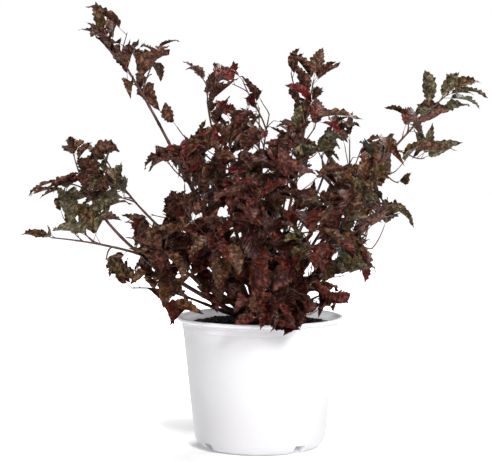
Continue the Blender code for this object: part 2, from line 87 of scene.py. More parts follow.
# Twigs and leaves
STEM_RADIUS = 0.0019
FORK_RADIUS = 0.0013
TIP_RADIUS = 0.0008
SHOOT_SEGMENT = 0.055
LEAF_SPACING = 0.0245
TOWARD_TIP = 0.7
LEAF_TRIES = 16
LOWEST_LEAF = 0.142
SHOOT_ANGLE = math.radians(48)
SHOOT_LONGEST = 0.085
FORK_LEAN = 0.4
FORK_LIFT = 0.35
BARE_START = 0.10
BARE_START_CROWN = 0.26
BARE_FORK = 0.38
ROOT_DEPTH = 0.0016
SPUR_RADIUS = 0.0009
SPUR_TIP_RADIUS = 0.0006
SPUR_SPACING = 0.034
SPUR_LENGTHS = (0.022, 0.050)
SPUR_LEAF_SPACING = 0.017
SPUR_LEAF_TRIES = 12
TIP_LEAF_TRIES = 16
# Limits of random draws: pitches and rolls in degrees, the rest as shares
TIP_SPREADS = (6, 16)
SIDE_SPREADS = (48, 72)
SIDE_LIFTS = (-0.10, 0.30)
ROLLS = (-32, 32)
SIZES = (0.88, 1.12)
DROOPS = (0.05, 0.30)
FOLDS = (0.15, 0.55)
ROSETTE_LIFT = 0.1
ROSETTE_SIZES = (0.62, 1.05)  # of its innermost leaf and its fifth, against the limb's leaves
ROSETTE_STEP = 0.003
NEXT_TRY_TURN = math.radians(40)
NEXT_TRY_SHRINK = 0.03
SAME_TONE = 0.65  # share of a twig's leaves in the twig's own tone
SPUR_SAME_TONE = 0.6
CUT_BACK = 0.005  # how near the last leaf a twig ends
MARGIN = 0.012  # how far finer leaves may stand out of the box of their mass
OUTER_SIDES = 2  # a limb with fewer side shoots than this is an outer one, open to the sky
OUTER_SIZE = 1.28  # length of a leaf on an outer limb against the rule's
INNER_SIZE = 0.94
CROWDED_POSE = (50, 1.5, 1.2)  # most nod in degrees, fold and arch against the rule's
OPEN_POSE = (20, 2.4, 1.8)
LEAST_NOD = -10
LIMB_SEEDS = 1000  # seeds of one limb, of which each twig has TWIG_SEEDS
TWIG_SEEDS = 50
WAY_SEEDS = 1000003  # from one way to grow a twig to the next
TONE_SEEDS = 500000  # from a leaf's own seed to that of its colour
TIP_SEED = 77
MOST_SHAPES = 4000

# tip: where the branch ends; rise and finish: pitch at foot and tip; bare: share with no leaves
Limb = namedtuple("Limb", "name tip rise finish bare leaf side tint forks")
LIMBS = (
    Limb("upper_left", (-0.208, -0.030, 0.565), 68, 57, 0.70, 0.058, 0, "maroon",
         ((0.78, (-0.142, 0.010, 0.547)), (0.74, (-0.176, -0.055, 0.517)))),
    Limb("centre_left_top", (-0.075, 0.020, 0.508), 76, 86, 0.52, 0.060, 1, "wine",
         ((0.60, (-0.112, -0.030, 0.440)),)),
    Limb("centre_top", (0.018, -0.020, 0.482), 84, 70, 0.48, 0.052, 2, "wine",
         ((0.84, (-0.024, -0.030, 0.505)),)),
    Limb("right_centre_top", (0.073, -0.010, 0.505), 78, 80, 0.50, 0.058, 1, "wine",
         ((0.80, (0.043, 0.020, 0.516)), (0.70, (0.098, -0.030, 0.478)))),
    Limb("right_centre_side", (0.105, 0.060, 0.447), 68, 86, 0.52, 0.052, 1, "bronze",
         ((0.72, (0.086, 0.020, 0.400)),)),
    Limb("right_long", (0.254, -0.030, 0.486), 54, 42, 0.60, 0.064, 0, "bronze",
         ((0.66, (0.165, -0.070, 0.430)), (0.72, (0.228, 0.020, 0.398)),
          (0.63, (0.186, -0.045, 0.366)), (0.80, (0.205, 0.010, 0.452)))),
    Limb("right_mid", (0.176, -0.090, 0.340), 42, 30, 0.40, 0.064, 2, "bronze", ()),
    Limb("right_lower", (0.168, 0.020, 0.293), 32, 22, 0.38, 0.058, 2, "bronze", ()),
    Limb("left_low", (-0.176, -0.080, 0.226), 20, -4, 0.38, 0.054, 1, "maroon",
         ((0.62, (-0.122, -0.112, 0.212)),)),
    Limb("left_mid", (-0.282, -0.050, 0.292), 36, 6, 0.60, 0.066, 1, "bronze",
         ((0.80, (-0.258, -0.022, 0.326)), (0.72, (-0.208, -0.068, 0.262)))),
    Limb("left_upper", (-0.216, 0.050, 0.396), 44, 62, 0.60, 0.062, 1, "olive",
         ((0.74, (-0.212, 0.018, 0.352)),)),
    Limb("left_outer", (-0.258, 0.006, 0.408), 36, 78, 0.66, 0.058, 1, "maroon",
         ((0.78, (-0.272, -0.022, 0.356)),)),
    Limb("mid_left_high", (-0.104, -0.070, 0.402), 60, 72, 0.34, 0.058, 3, "wine", ()),
    Limb("mid_left", (-0.122, -0.100, 0.340), 50, 46, 0.32, 0.060, 3, "purple", ()),
    Limb("mid_left_low", (-0.138, -0.128, 0.282), 34, 24, 0.34, 0.056, 2, "purple", ()),
    Limb("centre_front", (-0.048, -0.075, 0.420), 72, 74, 0.30, 0.060, 3, "wine", ()),
    Limb("front_right", (0.052, -0.138, 0.356), 58, 52, 0.28, 0.060, 3, "maroon", ()),
    Limb("mid_right", (0.112, -0.128, 0.322), 46, 40, 0.32, 0.062, 3, "bronze", ()),
    Limb("centre_right", (0.046, -0.062, 0.430), 74, 78, 0.32, 0.058, 3, "bronze", ()),
    Limb("back_left_high", (-0.120, 0.160, 0.420), 58, 66, 0.45, 0.062, 2, "bronze", ()),
    Limb("back_centre", (0.000, 0.150, 0.470), 68, 74, 0.45, 0.062, 2, "wine", ()),
    Limb("back_right_high", (0.150, 0.150, 0.410), 52, 62, 0.48, 0.062, 2, "maroon", ()),
    Limb("back_left_low", (-0.165, 0.180, 0.290), 34, 22, 0.48, 0.060, 2, "purple", ()),
    Limb("back_right_low", (0.165, 0.180, 0.285), 34, 26, 0.48, 0.060, 2, "maroon", ()),
    Limb("back_low", (-0.010, 0.235, 0.300), 38, 24, 0.48, 0.060, 2, "purple", ()),
    # These have no cane: their stem leaves the crown
    Limb("front_left", (-0.062, -0.165, 0.312), 44, 40, 0.0, 0.060, 2, "purple", ()),
    Limb("front_centre", (-0.006, -0.148, 0.352), 56, 52, 0.0, 0.062, 3, "maroon", ()),
    Limb("front_low", (0.018, -0.150, 0.218), 22, -4, 0.0, 0.056, 3, "purple", ()),
    Limb("right_low", (0.104, -0.084, 0.220), 20, -2, 0.0, 0.056, 2, "maroon", ()),
    Limb("back_side", (0.070, 0.090, 0.330), 52, 50, 0.0, 0.060, 2, "maroon", ()),
)

# Leaf colours: upper side, underside, and the slot of the record that they belong to
SAGE = "#695e44"
RUST = "#684434"
COLOURS = {
    "black_maroon": ("#38150e", RUST, "leaves_purple"),
    "maroon": ("#58251b", RUST, "leaves_maroon"),
    "plum": ("#5a2f26", RUST, "leaves_purple"),
    "chestnut": ("#5f3d26", RUST, "leaves_maroon"),
    "bronze": ("#5e472d", SAGE, "leaves_bronze"),
    "olive": ("#584d2e", SAGE, "leaves_olive"),
    "wine": ("#6c1c19", RUST, "leaves_wine"),
    "young_red": ("#802a22", RUST, "leaves_wine"),
}
# Which colours a spray of each tint may take, and how often
PALETTES = {
    "bronze": (("bronze", 5), ("chestnut", 3), ("maroon", 3), ("olive", 3), ("plum", 2)),
    "olive": (("olive", 4), ("bronze", 4), ("chestnut", 2), ("maroon", 3)),
    "wine": (("wine", 4), ("young_red", 1), ("maroon", 4), ("chestnut", 2), ("plum", 2)),
    "maroon": (("maroon", 5), ("black_maroon", 2), ("chestnut", 3), ("bronze", 1), ("plum", 2)),
    "purple": (("plum", 4), ("black_maroon", 3), ("maroon", 4), ("chestnut", 2)),
}

# The crown as it shows from the front, read off the photo to the nearest 5 mm on the plane
# y = 0: its outline as (x, z), and the openings with sky behind as (x, z, radius)
EYE = Vector((-0.0193, -2.2, 0.431))
AIM_HEIGHT = 0.298  # where the middle of the picture meets the plane y = 0
MOST_SKY = 0.17  # share of a leaf that may show against the sky
OUTLINE = (
    (-260, 585), (-220, 610), (-175, 585), (-205, 565), (-165, 555), (-175, 565), (-105, 565),
    (-130, 520), (-105, 500), (-150, 495), (-145, 480), (-120, 490), (-85, 465), (-125, 445),
    (-115, 415), (-80, 440), (-70, 455), (-80, 505), (-110, 535), (-75, 520), (-30, 540),
    (-30, 505), (-50, 490), (-30, 475), (-30, 460), (-20, 465), (-20, 510), (20, 495), (-5, 480),
    (-5, 440), (30, 440), (10, 415), (20, 450), (50, 455), (35, 480), (45, 520), (20, 540),
    (65, 555), (140, 535), (85, 505), (95, 490), (85, 470), (135, 465), (135, 440), (110, 420),
    (105, 395), (140, 395), (135, 425), (175, 435), (200, 410), (215, 430), (175, 470),
    (200, 475), (235, 470), (205, 515), (250, 525), (315, 505), (300, 460), (255, 455),
    (230, 425), (260, 435), (290, 405), (215, 400), (180, 385), (215, 380), (220, 355),
    (175, 370), (155, 355), (195, 340), (220, 315), (160, 310), (145, 305), (150, 270),
    (165, 250), (165, 230), (140, 245), (95, 235), (130, 200), (95, 190), (75, 175), (50, 150),
    (-30, 170), (-75, 180), (-100, 180), (-125, 175), (-145, 210), (-175, 230), (-195, 225),
    (-225, 255), (-220, 275), (-180, 265), (-180, 240), (-165, 255), (-185, 290), (-240, 300),
    (-305, 285), (-350, 305), (-290, 305), (-255, 315), (-315, 325), (-275, 345), (-330, 350),
    (-290, 370), (-275, 380), (-250, 385), (-280, 410), (-265, 430), (-165, 425), (-195, 380),
    (-175, 375), (-175, 350), (-200, 330), (-175, 330), (-150, 310), (-140, 295), (-130, 325),
    (-135, 350), (-90, 355), (-110, 370), (-115, 395), (-140, 395), (-170, 370), (-175, 375),
    (-145, 420), (-120, 410), (-150, 465), (-195, 490), (-220, 510), (-180, 505), (-195, 530),
    (-220, 545),
)
OPENINGS = (
    (70, 505, 8), (-45, 455, 7), (-70, 405, 8), (-35, 405, 6), (-10, 410, 6), (5, 420, 7),
    (45, 405, 7), (75, 435, 14), (80, 395, 12), (60, 365, 11), (85, 365, 10), (125, 410, 10),
    (90, 350, 7), (60, 330, 7), (35, 335, 8), (35, 300, 8), (80, 285, 8), (105, 265, 7),
    (130, 305, 7), (65, 245, 8), (75, 210, 7), (-95, 225, 11), (-85, 195, 8), (5, 380, 7),
    (60, 300, 6), (-90, 315, 8), (-50, 325, 10), (-95, 360, 8), (-35, 290, 7), (-205, 400, 6),
    (-170, 525, 8), (-190, 515, 6),
)
VIEW_EDGE = 60  # of the grid round the outline, in millimetres
FULL_GAIN = 5  # cells that a leaf inside the crown is asked to fill; more count no better
LEAST_GAIN = 2  # cells that a leaf on an outer limb has to fill
SKY_WEIGHT = 2.0  # of a cell of sky that is covered, against one of the outline
REPEAT_WEIGHT = 0.5  # of a cell that another leaf covers already, on the outer limbs
CELL = 5  # of the grid on which the outline's cover is counted, in millimetres
FILLS = (0.6, 1.5)  # how thickly finer twigs may stand on a mass, against SPUR_SPACING
WAYS = 3  # a twig is grown in so many ways for each fill, and the best of them is kept

Shoot = namedtuple("Shoot", "points radii leaf_from leaf")
Leaf = namedtuple("Leaf", "root way top length droop fold nod")


# The plant's growth rule

def dome_point(direction):
    """The crown's point whose surface faces a direction."""
    wide, tall = CROWN_RADIUS**2, CROWN_HEIGHT**2
    scaled = Vector((wide * direction.x, wide * direction.y, tall * direction.z))
    return scaled / math.sqrt(scaled.dot(direction))


def dome_normal(point):
    """The way that the crown's surface faces at a point on it."""
    wide, tall = CROWN_RADIUS**2, CROWN_HEIGHT**2
    return Vector((point.x / wide, point.y / wide, point.z / tall)).normalized()


def pitched(x, y, degrees):
    """A heading over the ground with a pitch."""
    level = Vector((x, y, 0)).normalized()
    rise = math.radians(degrees)
    return level * math.cos(rise) + UP * math.sin(rise)


def sideways(heading, angle):
    """A heading square to another, at an angle round it."""
    return Matrix.Rotation(angle, 3, heading) @ heading.orthogonal().normalized()


def cane_feet():
    """Foot and heading of each limb on the crown, pushed apart until no two are near."""
    points = [dome_point(pitched(limb.tip[0], limb.tip[1], limb.rise)) for limb in LIMBS]
    for _ in range(SPREAD_ROUNDS):
        for at, first in enumerate(points):
            for other in range(at):
                away = first - points[other]
                short = CANE_SPACING - away.length
                if short > 0:
                    step = away.normalized() * (short * 0.5)
                    points[at] = first = first + step
                    points[other] = points[other] - step
        for at, point in enumerate(points):
            point.z = max(point.z, LOWEST_FOOT)
            points[at] = dome_point(dome_normal(point))
            points[at].z = max(points[at].z, LOWEST_FOOT)
    middle = Vector((0, 0, CROWN_MIDDLE))
    return [(middle + point, dome_normal(point)) for point in points]


def curve_point(ends, share):
    """A point of the cubic curve with four control points, and its heading there."""
    a, b, c, d = ends
    rest = 1 - share
    place = a * rest**3 + b * 3 * rest**2 * share + c * 3 * rest * share**2 + d * share**3
    slope = (b - a) * rest**2 + (c - b) * 2 * rest * share + (d - c) * share**2
    return place, slope.normalized()


def limb_curve(limb, foot, normal):
    """Control points of a limb's axis, square to the crown and at its own pitch at the tip."""
    tip = Vector(limb.tip)
    heading = pitched(tip.x - foot.x, tip.y - foot.y, limb.finish)
    reach = (tip - foot).length * CURVE_ARM
    return (foot, foot + normal * reach, tip - heading * reach, tip)


def along(ends, start, end, count):
    """Points at even shares of a curve from start to end."""
    return [curve_point(ends, start + (end - start) * at / (count - 1))[0] for at in range(count)]


def blend(first, last, share):
    """A value between two others."""
    return first + (last - first) * share


def shoot(ends, start, end, first, last, leaf_from, leaf_length):
    """A twig along part of a curve."""
    length = (ends[3] - ends[0]).length * (end - start)
    count = max(3, 1 + round(length / SHOOT_SEGMENT))
    points = along(ends, start, end, count)
    radii = [blend(first, last, at / (count - 1)) for at in range(count)]
    fine = along(ends, start, end, max(5, 1 + round(length / 0.006)))
    return Shoot(points, radii, leaf_from, leaf_length), fine


def nearest_on(points, place):
    """The point of a line of straight pieces that is nearest to a place."""
    best = None
    for start, end in zip(points, points[1:]):
        along_piece = (place - start).dot(end - start) / (end - start).length_squared
        found = start.lerp(end, min(max(along_piece, 0), 1))
        if best is None or (found - place).length < (best - place).length:
            best = found
    return best


def fork_curve(place, heading, tip):
    """A side shoot's axis: off at an angle from its parent and then up to its tip."""
    arm = (tip - place).length * CURVE_ARM
    straight = (tip - place).normalized()
    start = (straight + heading * FORK_LEAN).normalized()
    end = (straight + UP * FORK_LIFT).normalized()
    return (place, place + start * arm, tip - end * arm, tip)


def side_shoot(place, heading, tip, leaf_length, bare=BARE_FORK, radius=FORK_RADIUS):
    """A twig from a place on its parent to its own tip."""
    ends = fork_curve(place, heading, tip)
    return shoot(ends, 0, 1, radius, TIP_RADIUS, bare, leaf_length)


def side_tip(place, heading, angle, length):
    """Tip of a shoot that leaves a stem at an angle round it, and turns up a little."""
    side = sideways(heading, angle)
    way = heading * math.cos(SHOOT_ANGLE) + side * math.sin(SHOOT_ANGLE) + UP * 0.15
    return place + way.normalized() * length


def shoots_of(limb, ends):
    """Main stem and side shoots of a limb's mass, the stem first, each with its fine line."""
    chance = random.Random(LIMBS.index(limb))
    start = limb.bare
    leafless = BARE_START if limb.bare else BARE_START_CROWN
    made = [shoot(ends, start, 1, STEM_RADIUS, TIP_RADIUS, leafless, limb.leaf)]
    for share, tip in limb.forks:
        place, heading = curve_point(ends, share)
        place = nearest_on(made[0][0].points, place)
        made.append(side_shoot(place, heading, Vector(tip), limb.leaf))
    stem_length = (ends[3] - ends[0]).length * (1 - start)
    angle = chance.uniform(0, 2 * math.pi)
    for at in range(limb.side):
        within = blend(leafless + 0.08, 0.80, (at + 0.5) / limb.side)
        share = blend(start, 1, within)
        place, heading = curve_point(ends, share)
        place = nearest_on(made[0][0].points, place)
        length = min(SHOOT_LONGEST, stem_length * blend(0.55, 0.32, within))
        length *= chance.uniform(0.85, 1.1)
        tip = side_tip(place, heading, angle, length)
        angle += GOLDEN
        made.append(side_shoot(place, heading, tip, limb.leaf))
    return made


def leaf_places(points, radii, leaf_from, angle, spacing=LEAF_SPACING):
    """(place, heading, angle, radius, last) of each leaf up a twig, the last at its tip."""
    lengths = [(b - a).length for a, b in zip(points, points[1:])]
    total = sum(lengths)
    first = total * leaf_from
    count = max(1, round((total - first) / spacing))
    found = []
    for at in range(count):
        distance = first + (total - first) * (at / count) ** TOWARD_TIP
        share = distance / total
        for start, end, length in zip(points, points[1:], lengths):
            if distance <= length:
                found.append((start.lerp(end, distance / length), (end - start).normalized(),
                              angle, blend(radii[0], radii[-1], share), False))
                break
            distance -= length
        angle += GOLDEN
    heading = (points[-1] - points[-2]).normalized()
    found.append((points[-1] - heading * ROOT_DEPTH, heading, angle, radii[-1], True))
    return found


def leaf_try(place, heading, angle, last, length, chance):
    """One leaf for a place, with small chances in its pitch, roll, fold and size."""
    side = sideways(heading, angle)
    spread = math.radians(chance.uniform(*(TIP_SPREADS if last else SIDE_SPREADS)))
    way = heading * math.cos(spread) + side * math.sin(spread)
    if not last:
        way = way + UP * chance.uniform(*SIDE_LIFTS)
    way.normalize()
    top = heading * (0.0 if last else 0.6) + UP - side * (0.5 if last else 0)
    top = top - way * top.dot(way)
    if top.length < 0.05:
        top = way.orthogonal()
    top.normalize()
    top = Matrix.Rotation(math.radians(chance.uniform(*ROLLS)), 3, way) @ top
    size, droop, fold = [chance.uniform(*limits) for limits in (SIZES, DROOPS, FOLDS)]
    return Leaf(place, way, top, length * size, droop, fold, 0)


def leaf_seed(limb, twig_at):
    """First of the seeds for the leaves of one twig."""
    return LIMBS.index(limb) * LIMB_SEEDS + twig_at * TWIG_SEEDS


# Room: what has grown so far, so that new leaves keep clear of it

SLENDERNESS = 0.60  # width of a slender blade against a broad one
STALK = 0.20  # share of a leaf's length that is its stalk
BLADE = np.array(((0.20, 0.0), (0.29, 0.20), (0.52, 0.31), (0.72, 0.19), (1.0, 0.0), (0.72, -0.19),
                  (0.52, -0.31), (0.29, -0.20), (0.54, 0.0)))


def arch(leaf, forward):
    """Reach, rise and slope of a leaf's midrib at shares of its length."""
    curl = 2 * leaf.droop + 1e-6
    slope = curl * np.asarray(forward, float)
    return np.sin(slope) / curl, (np.cos(slope) - 1) / curl, slope


def leaf_frame(leaf):
    """The ways across a leaf and square to its blade."""
    across = leaf.top.cross(leaf.way).normalized()
    return across, leaf.way.cross(across)


def leaf_chance(leaf):
    """The random draws of one leaf, the same each time."""
    return random.Random(round(leaf.length * 1e8))


def placed(leaf, forward, aside, relief):
    """Points of a leaf in place: halves folded up, blade arched over and nodding on its stalk."""
    across, top = leaf_frame(leaf)
    turn = math.atan(leaf.fold)
    relief = relief + np.abs(aside) * math.sin(turn)
    reach, rise, slope = arch(leaf, forward)
    start, low, _ = arch(leaf, STALK)
    reach = reach - start + relief * np.sin(slope)
    rise = rise - low + relief * np.cos(slope)
    forward = start + reach * math.cos(leaf.nod) + rise * math.sin(leaf.nod)
    lift = low + rise * math.cos(leaf.nod) - reach * math.sin(leaf.nod)
    moved = np.outer(forward, leaf.way) + np.outer(lift, top)
    moved += np.outer(aside * math.cos(turn), across)
    return np.array(leaf.root) + moved * leaf.length


def plain_blade(leaf, slender):
    """A leaf as few flat faces, to feel whether it has room."""
    points = placed(leaf, BLADE[:, 0], BLADE[:, 1] * (SLENDERNESS if slender else 1), 0)
    return points, [(at, (at + 1) % 8, 8) for at in range(8)]


def inside(x, z, outline):
    """Which of some points lie inside an outline, all in one plane."""
    start = np.asarray(outline, float)
    end = np.roll(start, -1, 0)
    x, z = x[:, None], z[:, None]
    rise = np.where(end[:, 1] == start[:, 1], 1, end[:, 1] - start[:, 1])
    reach = start[:, 0] + (z - start[:, 1]) * (end[:, 0] - start[:, 0]) / rise
    crossed = ((start[:, 1] > z) != (end[:, 1] > z)) & (x < reach)
    return crossed.sum(1) % 2 == 1


def leafy(x, z):
    """Which of some points, in millimetres, lie in the crown's outline and in no opening."""
    gaps = np.array(OPENINGS, float)
    gap = (np.hypot(x[:, None] - gaps[:, 0], z[:, None] - gaps[:, 1]) < gaps[:, 2]).any(1)
    return inside(x, z, OUTLINE) & ~gap


def shown(points):
    """Where points show on the plane y = 0 from the front, in millimetres."""
    away = np.array(points) - EYE
    found = (np.array(EYE) + away * (-EYE.y / away[:, 1:2])) * 1000
    return found[:, 0], found[:, 2]


def sky_share(points):
    """Share of points that show against the sky."""
    return float(1 - leafy(*shown(points)).mean())


class FrontView:
    """What the leaves cover of the crown's outline, counted on a grid."""

    def __init__(self):
        corners = np.array(OUTLINE)
        self.low, high = corners.min(0) - VIEW_EDGE, corners.max(0) + VIEW_EDGE
        self.x, self.z = np.meshgrid(np.arange(self.low[0], high[0], CELL),
                                     np.arange(self.low[1], high[1], CELL))
        self.wanted = leafy(self.x.ravel(), self.z.ravel()).reshape(self.x.shape)
        self.covered = np.zeros_like(self.wanted)

    def under(self, points):
        """The part of the grid about a leaf, and which of its cells the leaf lies over."""
        edge = np.column_stack(shown(points[:8]))
        left, low = ((edge.min(0) - self.low) / CELL).astype(int).clip(0)
        right, high = ((edge.max(0) - self.low) / CELL).astype(int) + 2
        part = (slice(low, high), slice(left, right))
        x, z = self.x[part], self.z[part]
        return part, inside(x.ravel(), z.ravel(), edge).reshape(x.shape)

    def cover(self, points):
        """Counts a leaf in."""
        part, hidden = self.under(points)
        self.covered[part] |= hidden

    def gain(self, points):
        """What a leaf's newly covered cells are worth, and how many others it repeats."""
        part, hidden = self.under(points)
        fresh = hidden & ~self.covered[part]
        return worth(fresh, self.wanted[part]), int((hidden & self.covered[part]).sum())

    def total(self):
        """How many more wanted cells than others are covered."""
        return worth(self.covered, self.wanted)


def worth(covered, wanted):
    """Wanted cells among the covered ones, less the others by their weight."""
    return int((covered & wanted).sum()) - SKY_WEIGHT * int((covered & ~wanted).sum())


def tube_faces(rings, sides):
    """The faces along a tube that is made of rings of corners."""
    faces = []
    for at in range(rings - 1):
        for corner in range(sides):
            low, after = sides * at + corner, sides * at + (corner + 1) % sides
            faces.append((low, after, after + sides, low + sides))
    return faces


def plain_twig(points, radius):
    """A twig as a three-sided tube, to feel for room."""
    corners = []
    for at, point in enumerate(points):
        heading = (points[min(at + 1, len(points) - 1)] - points[max(at - 1, 0)]).normalized()
        side = heading.orthogonal().normalized() * radius
        for corner in range(3):
            corners.append(point + Matrix.Rotation(math.radians(120) * corner, 3, heading) @ side)
    return corners, tube_faces(len(points), 3)


class Room:
    """Boxes and trees of all that has grown, and how it shows from the front."""

    def __init__(self):
        self.front = FrontView()
        self.trees = []
        self.lows = np.zeros((MOST_SHAPES, 3))
        self.highs = np.zeros((MOST_SHAPES, 3))

    def take(self, points, faces):
        """Takes a shape in and returns its number."""
        number = len(self.trees)
        self.lows[number], self.highs[number] = np.min(points, 0), np.max(points, 0)
        self.trees.append(BVHTree.FromPolygons(np.array(points).tolist(), faces))
        return number

    def mark(self):
        """The state to go back to."""
        return len(self.trees), self.front.covered.copy()

    def go_back(self, mark):
        """Drops all that was taken in since a mark."""
        del self.trees[mark[0]:]
        self.front.covered[:] = mark[1]

    def free(self, points, faces, own=()):
        """True where the shape touches nothing but its own twig."""
        count = len(self.trees)
        near = (self.lows[:count] <= np.max(points, 0)).all(1)
        near &= (self.highs[:count] >= np.min(points, 0)).all(1)
        tree = BVHTree.FromPolygons(np.array(points).tolist(), faces)
        return not any(tree.overlap(self.trees[at]) for at in np.nonzero(near)[0] if at not in own)


class Mass:
    """What has grown on one limb: its twigs as (points, first radius, last radius) and leaves."""

    def __init__(self, limb, ends):
        self.limb = limb
        self.ends = ends
        self.outer = limb.side < OUTER_SIDES
        self.twigs = []
        self.leaves = []
        self.spur_feet = []
        self.reach = 1.0
        low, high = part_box(f"leaves_{limb.name}")
        self.low = np.array(low) - MARGIN
        self.high = np.array(high) + MARGIN

    def holds(self, points):
        """True where the points lie in the space of the mass."""
        array = np.array(points)
        return bool((array >= self.low).all() and (array <= self.high).all())


def spray_colour(tint, chance):
    """A colour that suits a tint."""
    names, weights = zip(*PALETTES[tint])
    return chance.choices(names, weights)[0]


def posed(leaf, mass, slender):
    """A leaf with the size, arch and nod that suit its limb."""
    crowded = not mass.outer and not slender
    most_nod, fold, arched = CROWDED_POSE if crowded else OPEN_POSE
    nod = math.radians(leaf_chance(leaf).uniform(LEAST_NOD, most_nod))
    return leaf._replace(nod=nod, fold=leaf.fold * fold, droop=leaf.droop * arched,
                         length=leaf.length * (OUTER_SIZE if mass.outer else INNER_SIZE))


def grow_leaf(room, mass, tries, own, colour, slender=False):
    """Adds the one of a leaf's tries that has room and best fills the outline, if any has."""
    found = []
    slender = slender or (mass.outer and len(mass.leaves) % 7 > 0)
    for leaf in tries:
        leaf = posed(leaf, mass, slender)
        points, faces = plain_blade(leaf, slender)
        low = points[:, 2].min() < LOWEST_LEAF
        if low or not mass.holds(points) or sky_share(points) > MOST_SKY:
            continue
        gain, repeated = room.front.gain(points)
        if not mass.outer:
            found.append((min(gain, FULL_GAIN), leaf, points, faces))
        elif gain > LEAST_GAIN:
            found.append((gain - REPEAT_WEIGHT * repeated, leaf, points, faces))
    found.sort(key=lambda row: -row[0])
    for _, leaf, points, faces in found:
        if room.free(points, faces, own):
            room.take(points, faces)
            room.front.cover(points)
            mass.leaves.append((leaf, colour, slender))
            return


def grow_by_rule(room, mass, twig, fine, own, seed):
    """Leaves up one twig, by the same rule as the solids' leaves."""
    chance = random.Random(seed)
    first_turn = chance.uniform(0, 2 * math.pi)
    tone = spray_colour(mass.limb.tint, chance)
    places = leaf_places(twig.points, twig.radii, twig.leaf_from, first_turn)
    for at, (place, heading, angle, _, last) in enumerate(places):
        chance = random.Random(seed + 1 + at)
        place = nearest_on(fine, place)
        tries = []
        for attempt in range(LEAF_TRIES):
            turn = angle + attempt * NEXT_TRY_TURN
            length = twig.leaf * (1 - NEXT_TRY_SHRINK * attempt)
            tries.append(leaf_try(place, heading, turn, last, length, chance))
        other = random.Random(seed + TONE_SEEDS + at)
        same = other.random() < SAME_TONE
        colour = tone if same else spray_colour(mass.limb.tint, other)
        grow_leaf(room, mass, tries, own, colour, last or at == len(places) - 2)


def grow_tip(room, mass, fine, own, chance, tone, count):
    """A rosette of young leaves close under the tip of a twig."""
    heading = (fine[-1] - fine[-2]).normalized()
    turn = chance.uniform(0, 2 * math.pi)
    for at in range(count):
        place = fine[-1] - heading * (ROSETTE_STEP + ROSETTE_STEP * at)
        tries = []
        for _ in range(TIP_LEAF_TRIES):
            side = sideways(heading, turn)
            spread = math.radians(chance.uniform(20, 46 + 8 * at))
            way = heading * math.cos(spread) + side * math.sin(spread) + UP * ROSETTE_LIFT
            way.normalize()
            top = heading + UP * 0.6 - side * 0.4
            top = (top - way * top.dot(way)).normalized()
            size = mass.limb.leaf * blend(*ROSETTE_SIZES, at / 4) * chance.uniform(0.85, 1.1)
            droop, fold = chance.uniform(0.02, 0.26), chance.uniform(0.15, 0.50)
            tries.append(Leaf(place, way, top, size, droop, fold, 0))
            turn += GOLDEN
        grow_leaf(room, mass, tries, own, tone, True)


def grow_spurs(room, mass, fine, own, chance, tone, leaf_from, spacing):
    """Short finer twigs up a twig, each with its own few leaves."""
    total = sum((b - a).length for a, b in zip(fine, fine[1:]))
    count = max(0, round(total * (1 - leaf_from) / spacing))
    angle = chance.uniform(0, 2 * math.pi)
    for at in range(count):
        share = leaf_from + (1 - leaf_from) * (at + chance.uniform(0.2, 0.8)) / (count + 0.5)
        step = min(int(share * (len(fine) - 1)), len(fine) - 2)
        place = fine[step]
        heading = (fine[step + 1] - fine[step]).normalized()
        angle += GOLDEN
        tip = side_tip(place, heading, angle, chance.uniform(*SPUR_LENGTHS))
        twig, line = side_shoot(place, heading, tip, mass.limb.leaf * 0.95, 0.40, SPUR_RADIUS)
        tube = plain_twig(line, SPUR_RADIUS)
        if not mass.holds(tube[0]) or not room.free(*tube, own):
            continue
        number = room.take(*tube)
        before = len(mass.leaves)
        same = chance.random() < SPUR_SAME_TONE
        mine = tone if same else spray_colour(mass.limb.tint, chance)
        places = leaf_places(line, (1, 1), 0.42, angle, SPUR_LEAF_SPACING)
        for place, heading, turn, _, last in places:
            tries = []
            for attempt in range(SPUR_LEAF_TRIES):
                size = twig.leaf * chance.uniform(0.75, 1.1)
                tries.append(leaf_try(place, heading, turn + attempt * 1.1, last, size, chance))
            grow_leaf(room, mass, tries, own + (number,), mine)
        line = cut_back(line, mass.leaves[before:])
        if len(line) > 2:
            mass.twigs.append((line, SPUR_RADIUS, SPUR_TIP_RADIUS))
            mass.spur_feet.append((Leaf(line[0], *[0] * 6),))


def grow_stems():
    """Every mass with its stem and side shoots, and the room that they leave."""
    room = Room()
    masses = []
    for limb, (foot, normal) in zip(LIMBS, cane_feet()):
        ends = limb_curve(limb, foot, normal)
        mass = Mass(limb, ends)
        mass.own = room.take(*plain_twig(along(ends, 0, 1, 24), 0.0018))
        masses.append(mass)
    for mass in masses:
        mass.shoots = []
        for at, (twig, fine) in enumerate(shoots_of(mass.limb, mass.ends)):
            if at == 0:
                mass.shoots.append((at, twig, fine, (mass.own,)))
                continue
            tube = plain_twig(fine, FORK_RADIUS)
            if room.free(*tube, (mass.own,)):
                mass.shoots.append((at, twig, fine, (mass.own, room.take(*tube))))
    return room, masses


def cut_back(line, leaves):
    """A twig's line up to the last of its leaves."""
    roots = np.array([leaf.root for leaf, *_ in leaves]).reshape(-1, 3)
    kept = [at for at, point in enumerate(line)
            if len(roots) and np.linalg.norm(roots - np.array(point), axis=1).min() < CUT_BACK]
    return line[:kept[-1] + 1] if kept else []


